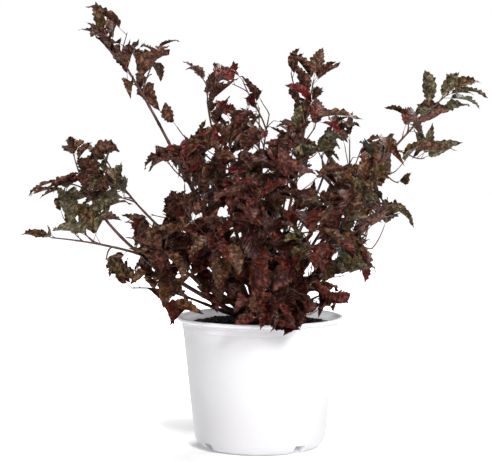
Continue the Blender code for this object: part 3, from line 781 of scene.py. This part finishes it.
def grow_shoot(room, mass, shoot_row, fill, seed):
    """One twig's leaves by the source's rule, the rosette at its tip and its finer twigs."""
    at, twig, fine, own = shoot_row
    before = len(mass.leaves)
    start = leaf_seed(mass.limb, at) + WAY_SEEDS * seed
    grow_by_rule(room, mass, twig, fine, own, start)
    chance = random.Random(start + TIP_SEED)
    tone = spray_colour(mass.limb.tint, chance)
    grow_tip(room, mass, fine, own, chance, tone, 3 + round(fill))
    grow_spurs(room, mass, fine, own, chance, tone, twig.leaf_from * 0.6, SPUR_SPACING / fill)
    line = cut_back(fine, mass.leaves[before:] + mass.spur_feet)
    if at == 0:
        mass.reach = len(line) / len(fine)
    elif len(line) > 2:
        mass.twigs.append((line, FORK_RADIUS, TIP_RADIUS))
    mass.spur_feet = []


def grow_best(room, mass, shoot_row):
    """Grows a twig in the one of a few ways that best fills the outline."""
    mark, leaves, twigs = room.mark(), len(mass.leaves), len(mass.twigs)
    best = None
    for fill in FILLS:
        for seed in range(WAYS):
            thickness = fill / 2 if mass.outer else fill
            grow_shoot(room, mass, shoot_row, thickness, seed)
            total = room.front.total()
            if best is None or total > best[0]:
                best = (total, thickness, seed)
            room.go_back(mark)
            del mass.leaves[leaves:]
            del mass.twigs[twigs:]
    grow_shoot(room, mass, shoot_row, best[1], best[2])


# Leaf, twig and cane meshes

# Half outlines of leaves by shares of their length: (along, across), with their teeth
BROAD = ((0.206, 0.075), (0.245, 0.170), (0.290, 0.236), (0.325, 0.220), (0.380, 0.292),
         (0.425, 0.272), (0.490, 0.322), (0.540, 0.276), (0.575, 0.224), (0.640, 0.246),
         (0.680, 0.190), (0.755, 0.186), (0.795, 0.126), (0.870, 0.098), (0.920, 0.042))
SLENDER = ((0.206, 0.040), (0.250, 0.092), (0.290, 0.134), (0.325, 0.118), (0.385, 0.170),
           (0.430, 0.150), (0.500, 0.190), (0.545, 0.158), (0.575, 0.130), (0.640, 0.150),
           (0.680, 0.112), (0.750, 0.114), (0.790, 0.076), (0.862, 0.062), (0.915, 0.026))
MIDRIB = ((0.34, 0.0), (0.54, 0.0), (0.76, 0.0))
SIDE_VEINS = ((0.36, 0.12), (0.36, -0.12), (0.54, 0.12), (0.54, -0.12))
LEAF_THICKNESS = 0.0004
PLEAT = 0.009  # how far the edge dips at a tooth, where a vein ends, and rises between two
CRUMPLE = 0.020  # how far the blade rises and falls between its veins
WAVE = 0.125  # how far a slow wave lifts the blade for each step out from the midrib
TWIST = (-30, 30)  # degrees from stalk to tip
LOBES = (-0.12, 0.20)  # how much wider the side lobes are than in the pattern
LOBES_AT = 0.5
LOBES_LENGTH = 0.1
WIDTHS = (0.86, 1.12)
TIP_CURLS = (-0.05, 0.26)
SWAYS = (-0.10, 0.10)  # how far the tip goes to one side


def leaf_pattern(half_edge):
    """Flat points of a leaf, how many lie on its edge, and its triangles."""
    edge = [(STALK, 0.0)] + list(half_edge) + [(1.0, 0.0)]
    edge += [(forward, -aside) for forward, aside in reversed(half_edge)]
    inner = list(MIDRIB + SIDE_VEINS)
    flat = [Vector(point) for point in edge + inner]
    rise = [0.0] * len(flat)
    for at in range(len(half_edge)):
        rise[1 + at] = rise[len(edge) - 1 - at] = 1.0 if at % 2 else -1.0
    rim = [(at, (at + 1) % len(edge)) for at in range(len(edge))]
    found = delaunay_2d_cdt(flat, rim, [list(range(len(edge)))], 1, 1e-6)
    triangles = [tuple(face) for face in found[2]]
    order = [source[0] for source in found[3]]
    triangles = [tuple(order[corner] for corner in face) for face in triangles]
    turned = []
    for a, b, c in triangles:
        cross = (flat[b] - flat[a]).cross(flat[c] - flat[a])
        turned.append((a, b, c) if cross > 0 else (a, c, b))
    return np.column_stack((edge + inner, rise)), len(edge), np.array(turned)


def bent_leaf(leaf, flat, chance):
    """Points of a leaf in place: nodding on its stalk, folded, arched, twisted and pleated."""
    forward = flat[:, 0]
    hump = np.exp(-(((forward - LOBES_AT) / LOBES_LENGTH) ** 2))
    lobes = 1 + chance.uniform(*LOBES) * hump
    aside = flat[:, 1] * lobes * chance.uniform(*WIDTHS)
    blade = np.clip((forward - STALK) / (1 - STALK), 0, 1)
    wave = np.sin(forward * chance.uniform(8, 13) + chance.uniform(0, 6))
    wave = WAVE * wave * np.abs(aside)
    rough = np.array([chance.uniform(-1, 1) for _ in flat]) * np.minimum(np.abs(flat[:, 1]) * 10, 1)
    pleat = PLEAT * flat[:, 2] + CRUMPLE * rough
    twist = math.radians(chance.uniform(*TWIST)) * blade
    curl = chance.uniform(*TIP_CURLS) * np.clip(forward - 0.55, 0, 1) ** 2 * 2.2
    lift = wave + pleat + aside * np.sin(twist) - curl
    aside = aside * np.cos(twist) + chance.uniform(*SWAYS) * blade**2
    return placed(leaf, forward, aside, lift)


def add_mesh(name, points, faces, smooth=True):
    """A mesh object from arrays, on the scene's collection."""
    mesh = bpy.data.meshes.new(name)
    mesh.from_pydata(points, [], faces)
    mesh.polygons.foreach_set("use_smooth", [smooth] * len(mesh.polygons))
    made = bpy.data.objects.new(name, mesh)
    bpy.context.scene.collection.objects.link(made)
    return made


def leaves_piece(name, leaves, upper, under):
    """All leaves of one colour as one mesh, with upper sides and undersides."""
    patterns = [leaf_pattern(BROAD), leaf_pattern(SLENDER)]
    points, faces, sides, places = [], [], [], []
    for leaf, slender in leaves:
        flat, edge_count, triangles = patterns[slender]
        bent = bent_leaf(leaf, flat, leaf_chance(leaf))
        below = bent - np.outer(np.arange(len(flat)) >= edge_count, leaf.top) * LEAF_THICKNESS
        faces += (triangles + len(points)).tolist()
        points += bent.tolist()
        faces += (triangles[:, ::-1] + len(points)).tolist()
        points += below.tolist()
        sides += [0] * len(triangles) + [1] * len(triangles)
        places += [flat[triangles, :2], flat[triangles[:, ::-1], :2]]
    made = add_mesh(name, points, faces)
    made.data.materials.append(upper)
    made.data.materials.append(under)
    made.data.polygons.foreach_set("material_index", sides)
    layer = made.data.uv_layers.new(name="UVMap")
    layer.data.foreach_set("uv", np.concatenate(places).ravel())
    return made


def tube(points, radii, sides, relief=None):
    """A tapering tube along points, closed at both ends, as points, faces and (round, along)."""
    points = [Vector(point) for point in points]
    heading = (points[1] - points[0]).normalized()
    side = heading.orthogonal().normalized()
    corners, places = [], []
    run = 0.0
    for at, (point, radius) in enumerate(zip(points, radii)):
        before, after = points[max(at - 1, 0)], points[min(at + 1, len(points) - 1)]
        heading = (after - before).normalized()
        side = (side - heading * side.dot(heading)).normalized()
        across = heading.cross(side)
        run += (point - points[at - 1]).length if at else 0
        for corner in range(sides):
            angle = 2 * math.pi * corner / sides
            swell = relief(run, angle) if relief else 1.0
            out = side * math.cos(angle) + across * math.sin(angle)
            corners.append(point + out * radius * swell)
            places.append((corner / sides, run))
    faces = [tuple(range(sides))[::-1]] + tube_faces(len(points), sides)
    faces.append(tuple(range(len(corners) - sides, len(corners))))
    return corners, faces, places


def joined_tubes(name, tubes, finish):
    """Many tubes as one mesh, with a UV map of (share round, metres along)."""
    points, faces, places = [], [], []
    for corners, sides, spots in tubes:
        faces += [tuple(corner + len(points) for corner in face) for face in sides]
        points += [tuple(corner) for corner in corners]
        places += spots
    made = add_mesh(name, points, faces)
    made.data.materials.append(finish)
    layer = made.data.uv_layers.new(name="UVMap")
    for face in made.data.polygons:
        rounds = [places[made.data.loops[at].vertex_index][0] for at in face.loop_indices]
        wrap = max(rounds) - min(rounds) > 0.5
        for at in face.loop_indices:
            around, run = places[made.data.loops[at].vertex_index]
            layer.data[at].uv = (around + 1 if wrap and around < 0.5 else around, run)
    return made


NODE_SPACING = 0.028
NODE_SWELLING = 0.22  # share of the cane's radius
RIDGES = 0.10
CANE_RING_SPACING = 0.004
CANE_SIDES = 9
TWIG_SIDES = 6


def cane_tube(mass):
    """One limb from the crown to its tip, with bark ridges and a swelling at each node."""
    limb, ends = mass.limb, mass.ends
    length = (ends[3] - ends[0]).length
    count = max(12, round(length / CANE_RING_SPACING))
    first = CANE_FOOT_RADIUS if limb.bare else STEM_RADIUS * 1.25
    middle = CANE_END_RADIUS if limb.bare else first
    radii = np.interp(np.linspace(0, 1, count), (0, limb.bare, 1), (first, middle, TIP_RADIUS))
    offset = Vector((LIMBS.index(limb) * 7.3, 0, 0))

    def relief(run, angle):
        node = abs((run / NODE_SPACING) % 1 - 0.5) * 2
        swelling = NODE_SWELLING * max(0, 1 - (1 - node) * 5)
        place = Vector((math.cos(angle) * 1.6, math.sin(angle) * 1.6, run * 40))
        return 1 + swelling + RIDGES * noise.noise(offset + place)

    end = blend(limb.bare, 1, mass.reach)
    return tube(along(ends, 0, end, count), radii.tolist(), CANE_SIDES, relief)


def stalk_tube(leaf):
    """The thin stalk between a twig and a leaf's blade."""
    _, top = leaf_frame(leaf)
    points = []
    for share in (0.0, 0.5, 1.1):
        reach, rise, _ = arch(leaf, STALK * share)
        points.append(leaf.root + (leaf.way * float(reach) + top * float(rise)) * leaf.length)
    return tube(points, (0.0007, 0.0005, 0.0004), 4)


# Materials

def linear(colour):
    """A colour from its sRGB hex value."""
    shares = [int(colour[at:at + 2], 16) / 255 for at in (1, 3, 5)]
    return [x / 12.92 if x <= 0.04045 else ((x + 0.055) / 1.055) ** 2.4 for x in shares] + [1.0]


def new_material(name, colour, roughness, **sockets):
    """A Principled material with plain values, and its node tree and shader."""
    made = bpy.data.materials.new(name)
    made.use_nodes = True
    shader = made.node_tree.nodes["Principled BSDF"]
    shader.inputs["Base Color"].default_value = linear(colour)
    shader.inputs["Roughness"].default_value = roughness
    for socket, value in sockets.items():
        shader.inputs[socket.replace("_", " ")].default_value = value
    return made, made.node_tree, shader


def add_node(tree, kind, inputs=(), **settings):
    """A node with its settings, and its inputs set or linked by name or number."""
    made = tree.nodes.new(kind)
    for name, value in settings.items():
        setattr(made, name, value)
    for name, value in dict(inputs).items():
        if isinstance(value, bpy.types.NodeSocket):
            tree.links.new(value, made.inputs[name])
        else:
            made.inputs[name].default_value = value
    return made


def noise_on(tree, place, scale, detail, **more):
    """Noise from 0 to 1 over a material's surface."""
    inputs = {"Vector": place, "Scale": scale, "Detail": detail, **more}
    return add_node(tree, "ShaderNodeTexNoise", inputs).outputs["Fac"]


def toned(tree, shader, share, *tones):
    """Colours a material by tones that each have a place between 0 and 1."""
    ramp = add_node(tree, "ShaderNodeValToRGB", {"Fac": share})
    for _ in tones[2:]:
        ramp.color_ramp.elements.new(0.5)
    for stop, (position, colour) in zip(ramp.color_ramp.elements, tones):
        stop.position = position
        stop.color = colour
    tree.links.new(ramp.outputs["Color"], shader.inputs["Base Color"])


def bumped(tree, shader, height, strength, distance):
    """Gives a material a fine relief, its distance in metres."""
    bump = add_node(tree, "ShaderNodeBump", {"Strength": strength, "Distance": distance,
                                             "Height": height})
    tree.links.new(bump.outputs["Normal"], shader.inputs["Normal"])


def sums(tree, operation, *values):
    """A sum worked out at each point of a surface."""
    return add_node(tree, "ShaderNodeMath", enumerate(values), operation=operation).outputs[0]


def moulded_polypropylene():
    """White injection-moulded pot: an even satin skin, thin enough for some light to pass."""
    made, tree, shader = new_material("moulded polypropylene", "#f0eef3", 0.36, IOR=1.49,
                                      Subsurface_Weight=0.7, Subsurface_Scale=0.012,
                                      Subsurface_Radius=(1, 1, 1))
    place = add_node(tree, "ShaderNodeTexCoord").outputs["Object"]
    cloud = noise_on(tree, place, 14.0, 3.0)
    tone = add_node(tree, "ShaderNodeMix", {"Factor": cloud, 6: linear("#f3f1f5"),
                                            7: linear("#ebe8ef")}, data_type="RGBA")
    tree.links.new(tone.outputs[2], shader.inputs["Base Color"])
    sheen = add_node(tree, "ShaderNodeMapRange", {"Value": cloud, "To Min": 0.30, "To Max": 0.46})
    tree.links.new(sheen.outputs["Result"], shader.inputs["Roughness"])
    bumped(tree, shader, noise_on(tree, place, 900.0, 2.0), 0.12, 0.0003)
    return made


def moist_peat():
    """Dark peat and composted bark: matt, almost black, with browner fibres 2 to 4 mm long."""
    made, tree, shader = new_material("moist peat", "#17100e", 0.95)
    place = add_node(tree, "ShaderNodeTexCoord").outputs["Object"]
    grain = noise_on(tree, place, 330.0, 4.0)
    toned(tree, shader, grain, (0.38, linear("#070504")), (0.72, linear("#241712")))
    bumped(tree, shader, grain, 0.9, 0.0012)
    return made


def young_bark():
    """Red-brown cane bark: satin, drawn out in fine lengthwise streaks that start to peel."""
    made, tree, shader = new_material("young bark", "#3a1c18", 0.55)
    own = add_node(tree, "ShaderNodeUVMap", uv_map="UVMap").outputs["UV"]
    drawn = add_node(tree, "ShaderNodeMapping", {"Vector": own, "Scale": (7.0, 90.0, 1.0)})
    streak = noise_on(tree, drawn.outputs["Vector"], 1.0, 5.0)
    toned(tree, shader, streak, (0.35, linear("#26110f")), (0.75, linear("#6b3d30")))
    bumped(tree, shader, streak, 0.5, 0.0004)
    return made


# Of a leaf's skin: a tone's place in the noise, the strength of its colour and the grey of its
# painted sheen.
# The darkest tone is painted shade and the palest, greyed, a painted highlight, at random places.
SKIN_SHADE_AND_SHEEN = ((0.36, 0.10, 0.0), (0.52, 0.58, 0.0), (0.66, 1.9, 0.018))
VEIN_SLANT = -0.9  # how far forward the side veins run for each step out from the midrib
VEIN_SPACING = 0.055  # share of the leaf's length


def leaf_skin(name, colour, roughness):
    """Waxy leaf: satin, quilted between sunken veins, mottled with painted shade and painted sheen.
    """
    made, tree, shader = new_material(name, colour, roughness)
    shader.inputs["Specular IOR Level"].default_value = 0.15
    place = add_node(tree, "ShaderNodeTexCoord").outputs["Object"]
    own = add_node(tree, "ShaderNodeUVMap", uv_map="UVMap").outputs["UV"]
    base = linear(colour)[:3]
    # Random mottle over the leaf's own colour: its near-black low end is painted shade, its greyed
    # high end a painted highlight
    toned(tree, shader, noise_on(tree, place, 190.0, 4.0, Roughness=0.7),
          *[(position, [share * strength + painted_sheen for share in base] + [1])
            for position, strength, painted_sheen in SKIN_SHADE_AND_SHEEN])
    split = add_node(tree, "ShaderNodeSeparateXYZ", {"Vector": own}).outputs
    off = sums(tree, "ABSOLUTE", split["Y"])
    slant = sums(tree, "MULTIPLY_ADD", off, VEIN_SLANT, split["X"])
    cell = sums(tree, "PINGPONG", slant, VEIN_SPACING)
    quilt, rib = [add_node(tree, "ShaderNodeMapRange", {"Value": value, "From Max": width},
                           interpolation_type="SMOOTHSTEP").outputs[0]
                  for value, width in ((cell, 0.05), (off, 0.025))]
    veins = sums(tree, "MULTIPLY", quilt, rib)
    height = sums(tree, "MULTIPLY_ADD", noise_on(tree, place, 300.0, 3.0), 0.7, veins)
    bumped(tree, shader, height, 0.45, 0.0008)
    return made


# Pot, potting mix and crown, modelled in edit mode

def rounded(corners, steps=4):
    """A line of points with each (x, z, radius) corner rounded."""
    found = []
    for at, (x, z, radius) in enumerate(corners):
        here = Vector((x, z))
        if radius == 0 or at in (0, len(corners) - 1):
            found.append(here)
            continue
        before = (Vector(corners[at - 1][:2]) - here).normalized() * radius
        after = (Vector(corners[at + 1][:2]) - here).normalized() * radius
        for step in range(steps + 1):
            share = step / steps
            found.append(here + before * (1 - share) ** 2 + after * share**2)
    return found


def primitive(operator, name, location=(0, 0, 0), **sizes):
    """A new simple object, selected alone."""
    bpy.ops.object.select_all(action="DESELECT")
    operator(location=location, **sizes)
    made = bpy.context.object
    made.name = made.data.name = name
    return made


def edit(*steps):
    """Edits all of the active object by steps of (operator, settings)."""
    bpy.ops.object.mode_set(mode="EDIT")
    for operator, settings in steps:
        bpy.ops.mesh.select_all(action="SELECT")
        operator(**settings)
    bpy.ops.object.mode_set(mode="OBJECT")


def spun(name, profile, sides):
    """A point extruded along a profile and spun once round Z."""
    made = primitive(bpy.ops.mesh.primitive_plane_add, name, size=0.001)
    bpy.ops.object.mode_set(mode="EDIT")
    bpy.ops.mesh.select_all(action="SELECT")
    bpy.ops.mesh.merge(type="CENTER")
    bpy.ops.mesh.select_all(action="SELECT")
    here = Vector(profile[0])
    bpy.ops.transform.translate(value=(here.x, 0, here.y))
    for point in profile[1:]:
        step = Vector(point) - here
        bpy.ops.mesh.extrude_vertices_move(
            TRANSFORM_OT_translate={"value": (step.x, 0, step.y)})
        here = Vector(point)
    edit((bpy.ops.mesh.spin, {"steps": sides, "angle": 2 * math.pi, "center": (0, 0, 0),
                              "axis": (0, 0, 1)}),
         (bpy.ops.mesh.remove_doubles, {"threshold": 0.00001}),
         (bpy.ops.mesh.normals_make_consistent, {"inside": False}))
    return made


def inner_radius(height):
    """Radius of the pot's inside at a height between its foot and its band."""
    slope = (BODY_TOP_RADIUS - BODY_BOTTOM_RADIUS) / (BAND_BOTTOM - FOOT_RADIUS)
    return BODY_BOTTOM_RADIUS - WALL + (height - FOOT_RADIUS) * slope


def combine(made, operation, other):
    """Applies a Boolean of one object with another."""
    change = made.modifiers.new("Combine", "BOOLEAN")
    change.operation = operation
    change.solver = "EXACT"
    change.object = other
    bpy.context.view_layer.objects.active = made
    bpy.ops.object.modifier_apply(modifier=change.name)


def rounded_block(turn, away, low, size):
    """A rounded block at a turn round Z and a distance out."""
    out = away + size.y / 2
    place = (out * math.sin(turn), -out * math.cos(turn), low + size.z / 2)
    block = primitive(bpy.ops.mesh.primitive_cube_add, "block", place, size=1,
                      rotation=(0, 0, turn), scale=size)
    bpy.ops.object.transform_apply(location=True, rotation=True, scale=True)
    bevel = block.modifiers.new("Round", "BEVEL")
    bevel.width = 0.0018
    bevel.segments = 3
    return block


def make_pot():
    """The pot: thin wall, flared lip, stepped band and a rounded foot with four drain notches."""
    # Each corner's radius, height and rounding, from inside the floor over the lip to the foot
    corners = [(0, WALL, 0), (inner_radius(FOOT_RADIUS), WALL, FOOT_RADIUS - WALL),
               (inner_radius(BAND_BOTTOM), BAND_BOTTOM, 0.002), (BAND_RADIUS - WALL, 0.1705, 0.002),
               (LIP_RADIUS - 0.0045, POT_HEIGHT, 0.0012), (LIP_RADIUS, POT_HEIGHT, 0.0013),
               (LIP_RADIUS, POT_HEIGHT - 0.0042, 0.0009), (BAND_RADIUS + 0.0012, 0.1752, 0.0012),
               (BAND_RADIUS + 0.0006, 0.1722, 0.0004), (BAND_RADIUS - 0.0002, 0.1716, 0.0004),
               (BAND_RADIUS - 0.0004, BAND_BOTTOM, 0.0008),
               (BODY_TOP_RADIUS, BAND_BOTTOM - 0.0004, 0.0006),
               (BODY_BOTTOM_RADIUS, 0.0, FOOT_RADIUS), (0, 0, 0)]
    pot = spun("nursery_pot", rounded(corners, 6), POT_SIDES)
    half = WALL / 2
    corners = [(0, half, 0), (BODY_BOTTOM_RADIUS - half, half, FOOT_RADIUS),
               (BODY_BOTTOM_RADIUS, 2 * FOOT_RADIUS, 0), (0, 2 * FOOT_RADIUS, 0)]
    foot = spun("foot", rounded(corners, 6), POT_SIDES)
    notch = Vector((NOTCH_WIDTH, NOTCH_LENGTH, NOTCH_HEIGHT))
    for angle in NOTCH_ANGLES:
        turn = math.radians(angle)
        lined = notch + Vector((2 * WALL, 0, WALL))
        lining = rounded_block(turn, NOTCH_INNER_RADIUS - WALL, 0, lined)
        combine(lining, "INTERSECT", foot)
        combine(pot, "UNION", lining)
        cutter = rounded_block(turn, NOTCH_INNER_RADIUS, -NOTCH_HEIGHT, notch + UP * NOTCH_HEIGHT)
        combine(pot, "DIFFERENCE", cutter)
        bpy.data.objects.remove(lining)
        bpy.data.objects.remove(cutter)
    bpy.data.objects.remove(foot)
    bpy.ops.object.select_all(action="DESELECT")
    pot.select_set(True)
    bpy.ops.object.shade_smooth_by_angle(angle=math.radians(32))
    return pot


SOIL_EDGE_DROP = 0.0020
SOIL_LUMPS = ((60, 0.0016), (190, 0.0011))  # of each size of lump: how many a metre, how tall
SOIL_GAP = 0.0006  # between the mix and the pot's wall
CRUMBS = 1500
CRUMB_SIZES = (0.0007, 0.0021)


def soil_height(x, y):
    """Height of the potting mix's lumpy top at a place."""
    reach = math.hypot(x, y) / inner_radius(BAND_BOTTOM)
    level = SOIL_TOP + SOIL_CROWN * (1 - reach**2) - SOIL_EDGE_DROP * reach**6
    for layer, (often, tall) in enumerate(SOIL_LUMPS):
        level += noise.noise(Vector((x, y, 3 * layer)) * often) * tall
    return level - 0.0008


def make_soil():
    """The potting mix as one filling with a lumpy top."""
    edge = inner_radius(BAND_BOTTOM) - SOIL_GAP
    foot = inner_radius(FOOT_RADIUS) - SOIL_GAP
    profile = [(edge * at / 34, SOIL_TOP) for at in range(35)]
    profile += [(foot, FOOT_RADIUS), (foot - FOOT_RADIUS + WALL, WALL + 0.0004), (0, WALL + 0.0004)]
    soil = spun("potting_mix", profile, 110)
    for vertex in soil.data.vertices:
        if vertex.co.z > SOIL_TOP - 0.001:
            vertex.co.z = soil_height(vertex.co.x, vertex.co.y)
    bpy.ops.object.shade_smooth_by_angle(angle=math.radians(50))
    return soil


def make_crumbs():
    """Crumbs of peat and slivers of bark that lie on the potting mix."""
    chance = random.Random(12)
    seed = primitive(bpy.ops.mesh.primitive_ico_sphere_add, "crumb", subdivisions=1, radius=1)
    round_points = np.array([vertex.co[:] for vertex in seed.data.vertices])
    round_faces = [tuple(face.vertices) for face in seed.data.polygons]
    bpy.data.objects.remove(seed)
    points, faces = [], []
    for _ in range(CRUMBS):
        reach = inner_radius(BAND_BOTTOM) - 0.004
        away, angle = reach * math.sqrt(chance.random()), chance.uniform(0, 2 * math.pi)
        x, y = away * math.cos(angle), away * math.sin(angle)
        size = chance.uniform(*CRUMB_SIZES)
        stretch = [chance.uniform(*limits) for limits in ((1.0, 2.6), (0.7, 1.1), (0.4, 0.9))]
        rough = 1 + 0.25 * np.sin(round_points[:, :1] * 5 + angle * 9)
        lump = round_points * np.array(stretch) * size * rough
        turn = Matrix.Rotation(chance.uniform(0, 6.3), 3, "Z")
        turn = turn @ Matrix.Rotation(chance.uniform(-0.4, 0.4), 3, "X")
        lump = lump @ np.array(turn).T + np.array((x, y, soil_height(x, y) + size * 0.25))
        faces += [tuple(corner + len(points) for corner in face) for face in round_faces]
        points += lump.tolist()
    return add_mesh("peat_crumbs", points, faces)


def make_crown():
    """The squat woody crown: a knobbly dome with a flare, cut flat at the soil."""
    crown = primitive(bpy.ops.mesh.primitive_uv_sphere_add, "woody_crown", segments=64,
                      ring_count=40, radius=1)
    edit((bpy.ops.mesh.bisect, {"plane_co": (0, 0, CROWN_CUT), "plane_no": (0, 0, 1),
                                "clear_inner": True, "use_fill": True}),
         (bpy.ops.transform.resize, {"value": (CROWN_RADIUS, CROWN_RADIUS, CROWN_HEIGHT),
                                     "center_override": (0, 0, 0)}),
         (bpy.ops.transform.translate, {"value": (0, 0, CROWN_MIDDLE)}))
    for vertex in crown.data.vertices:
        low = max(0, 1 - (vertex.co.z - CROWN_FOOT) / 0.010)
        knob = 1 + 0.07 * noise.noise(vertex.co * 120) + 0.03 * noise.noise(vertex.co * 420)
        flare = 1 + (CROWN_FLARE / CROWN_RADIUS - 1) * low**2
        vertex.co.x *= knob * flare
        vertex.co.y *= knob * flare
        if vertex.co.z > CROWN_FOOT + 0.002:
            vertex.co.z = CROWN_MIDDLE + (vertex.co.z - CROWN_MIDDLE) * knob
    bpy.ops.object.shade_smooth_by_angle(angle=math.radians(60))
    return crown


# Studio

# Each lamp's place, size in metres and watts
LAMPS = {
    "key": ((0.9, -2.5, 1.6), 0.8, 95),
    "fill": ((-1.6, -2.4, 0.7), 1.6, 4),
    "top": ((-0.3, 0.2, 2.6), 0.6, 44),
    "back": ((1.0, 2.0, 1.8), 1.2, 36),
}
LAMPS_AIM = Vector((0, 0, 0.3))
FLOOR_RADIUS = 9
FLOOR_LIGHTING = 0.13  # how bright the floor and the surroundings are as sources of light
SKY_LIGHTING = 0.11
# How bright the floor is seen: its first value up to a distance from the pot's axis, its last
# value beyond another
GLOW = {"From Min": 0.12, "From Max": 0.6, "To Min": 0.15, "To Max": 0.92}
FOCAL_PIXELS = 1598
PICTURE_PIXELS = 492
SENSOR_WIDTH = 36


def seen_brighter(tree, shader, socket, lighting, seen):
    """Sets how bright a shader is to the camera, and how bright as a source of light."""
    ray = add_node(tree, "ShaderNodeLightPath")
    level = add_node(tree, "ShaderNodeMapRange",
                     {"Value": ray.outputs["Is Camera Ray"], "To Min": lighting, "To Max": seen})
    tree.links.new(level.outputs["Result"], shader.inputs[socket])


def make_studio():
    """Pale floor, white surroundings and soft lights."""
    floor = primitive(bpy.ops.mesh.primitive_circle_add, "floor", (0, 0, -0.0002),
                      vertices=96, radius=FLOOR_RADIUS, fill_type="NGON")
    finish, tree, shader = new_material("studio floor", "#fbfbfb", 0.9)
    shader.inputs["Emission Color"].default_value = (1, 1, 1, 1)
    shader.inputs["Specular IOR Level"].default_value = 0.0
    place = add_node(tree, "ShaderNodeTexCoord")
    away = add_node(tree, "ShaderNodeVectorMath", {0: place.outputs["Object"]}, operation="LENGTH")
    glow = add_node(tree, "ShaderNodeMapRange", {"Value": away.outputs["Value"], **GLOW})
    seen_brighter(tree, shader, "Emission Strength", FLOOR_LIGHTING, glow.outputs["Result"])
    floor.data.materials.append(finish)
    world = bpy.data.worlds.new("surroundings")
    bpy.context.scene.world = world
    world.use_nodes = True
    back = world.node_tree.nodes["Background"]
    back.inputs["Color"].default_value = (1, 1, 1, 1)
    seen_brighter(world.node_tree, back, "Strength", SKY_LIGHTING, 1.0)
    for name, (place, size, power) in LAMPS.items():
        lamp = bpy.data.lights.new(name, "AREA")
        lamp.size = size
        lamp.energy = power
        made = bpy.data.objects.new(name, lamp)
        made.location = place
        made.rotation_euler = (LAMPS_AIM - made.location).to_track_quat("-Z", "Y").to_euler()
        bpy.context.scene.collection.objects.link(made)
    scene = bpy.context.scene
    scene.view_settings.view_transform = "Standard"
    scene.view_settings.look = "None"


def make_camera():
    """The photograph's camera: low, far back and in front."""
    data = bpy.data.cameras.new("camera")
    data.sensor_width = SENSOR_WIDTH
    data.lens = FOCAL_PIXELS / PICTURE_PIXELS * SENSOR_WIDTH
    made = bpy.data.objects.new("camera", data)
    made.location = EYE
    made.rotation_euler = (math.radians(90) - math.atan2(EYE.z - AIM_HEIGHT, -EYE.y), 0, 0)
    bpy.context.scene.collection.objects.link(made)
    bpy.context.scene.camera = made


def dress(piece, finish, slot, *nodes):
    """Gives a piece its finish and body, and hides the parts of the nodes that it stands for. The
    slot is not used.
    """
    if finish:
        piece.data.materials.clear()
        piece.data.materials.append(finish)
    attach(piece, "root")
    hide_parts(*nodes)


def main():
    """Sets the scene up, grows the plant and makes every piece."""
    make_camera()
    make_studio()
    bark, peat = young_bark(), moist_peat()
    dress(make_pot(), moulded_polypropylene(), "pot", "pot")
    dress(make_soil(), peat, "soil", "soil")
    dress(make_crumbs(), peat, "soil", "soil")
    crown = make_crown()
    crown.data.uv_layers[0].name = "UVMap"
    dress(crown, bark, "bark", "root_crown")
    room, masses = grow_stems()
    for mass in masses:
        for shoot_row in mass.shoots:
            grow_best(room, mass, shoot_row)
    canes = joined_tubes("canes", [cane_tube(mass) for mass in masses], bark)
    dress(canes, None, "bark", *[f"cane_{mass.limb.name}" for mass in masses if mass.limb.bare])
    tubes = []
    for mass in masses:
        for line, first, last in mass.twigs:
            radii = [blend(first, last, at / (len(line) - 1)) for at in range(len(line))]
            tubes.append(tube(line, radii, TWIG_SIDES))
    nodes = [f"leaves_{mass.limb.name}" for mass in masses]
    dress(joined_tubes("twigs", tubes, bark), None, "bark", *nodes)
    stalk_finish = leaf_skin("leaf stalk", "#8a5a55", 0.5)
    stalks = [stalk_tube(leaf) for mass in masses for leaf, *_ in mass.leaves]
    dress(joined_tubes("leaf_stalks", stalks, stalk_finish), None, "leaves_wine", *nodes)
    unders = {SAGE: leaf_skin("sage leaf underside", SAGE, 0.6),
              RUST: leaf_skin("rust leaf underside", RUST, 0.6)}
    for name, (upper, under, slot) in COLOURS.items():
        chosen = [((leaf, slender), mass) for mass in masses
                  for leaf, colour, slender in mass.leaves if colour == name]
        holders = sorted({f"leaves_{mass.limb.name}" for _, mass in chosen})
        skin = leaf_skin(f"waxy leaf {name.replace('_', ' ')}", upper, 0.42)
        piece = leaves_piece(f"{name}_leaves", [leaf for leaf, _ in chosen], skin, unders[under])
        dress(piece, None, slot, *holders)
        print(name, len(chosen), "leaves")


main()
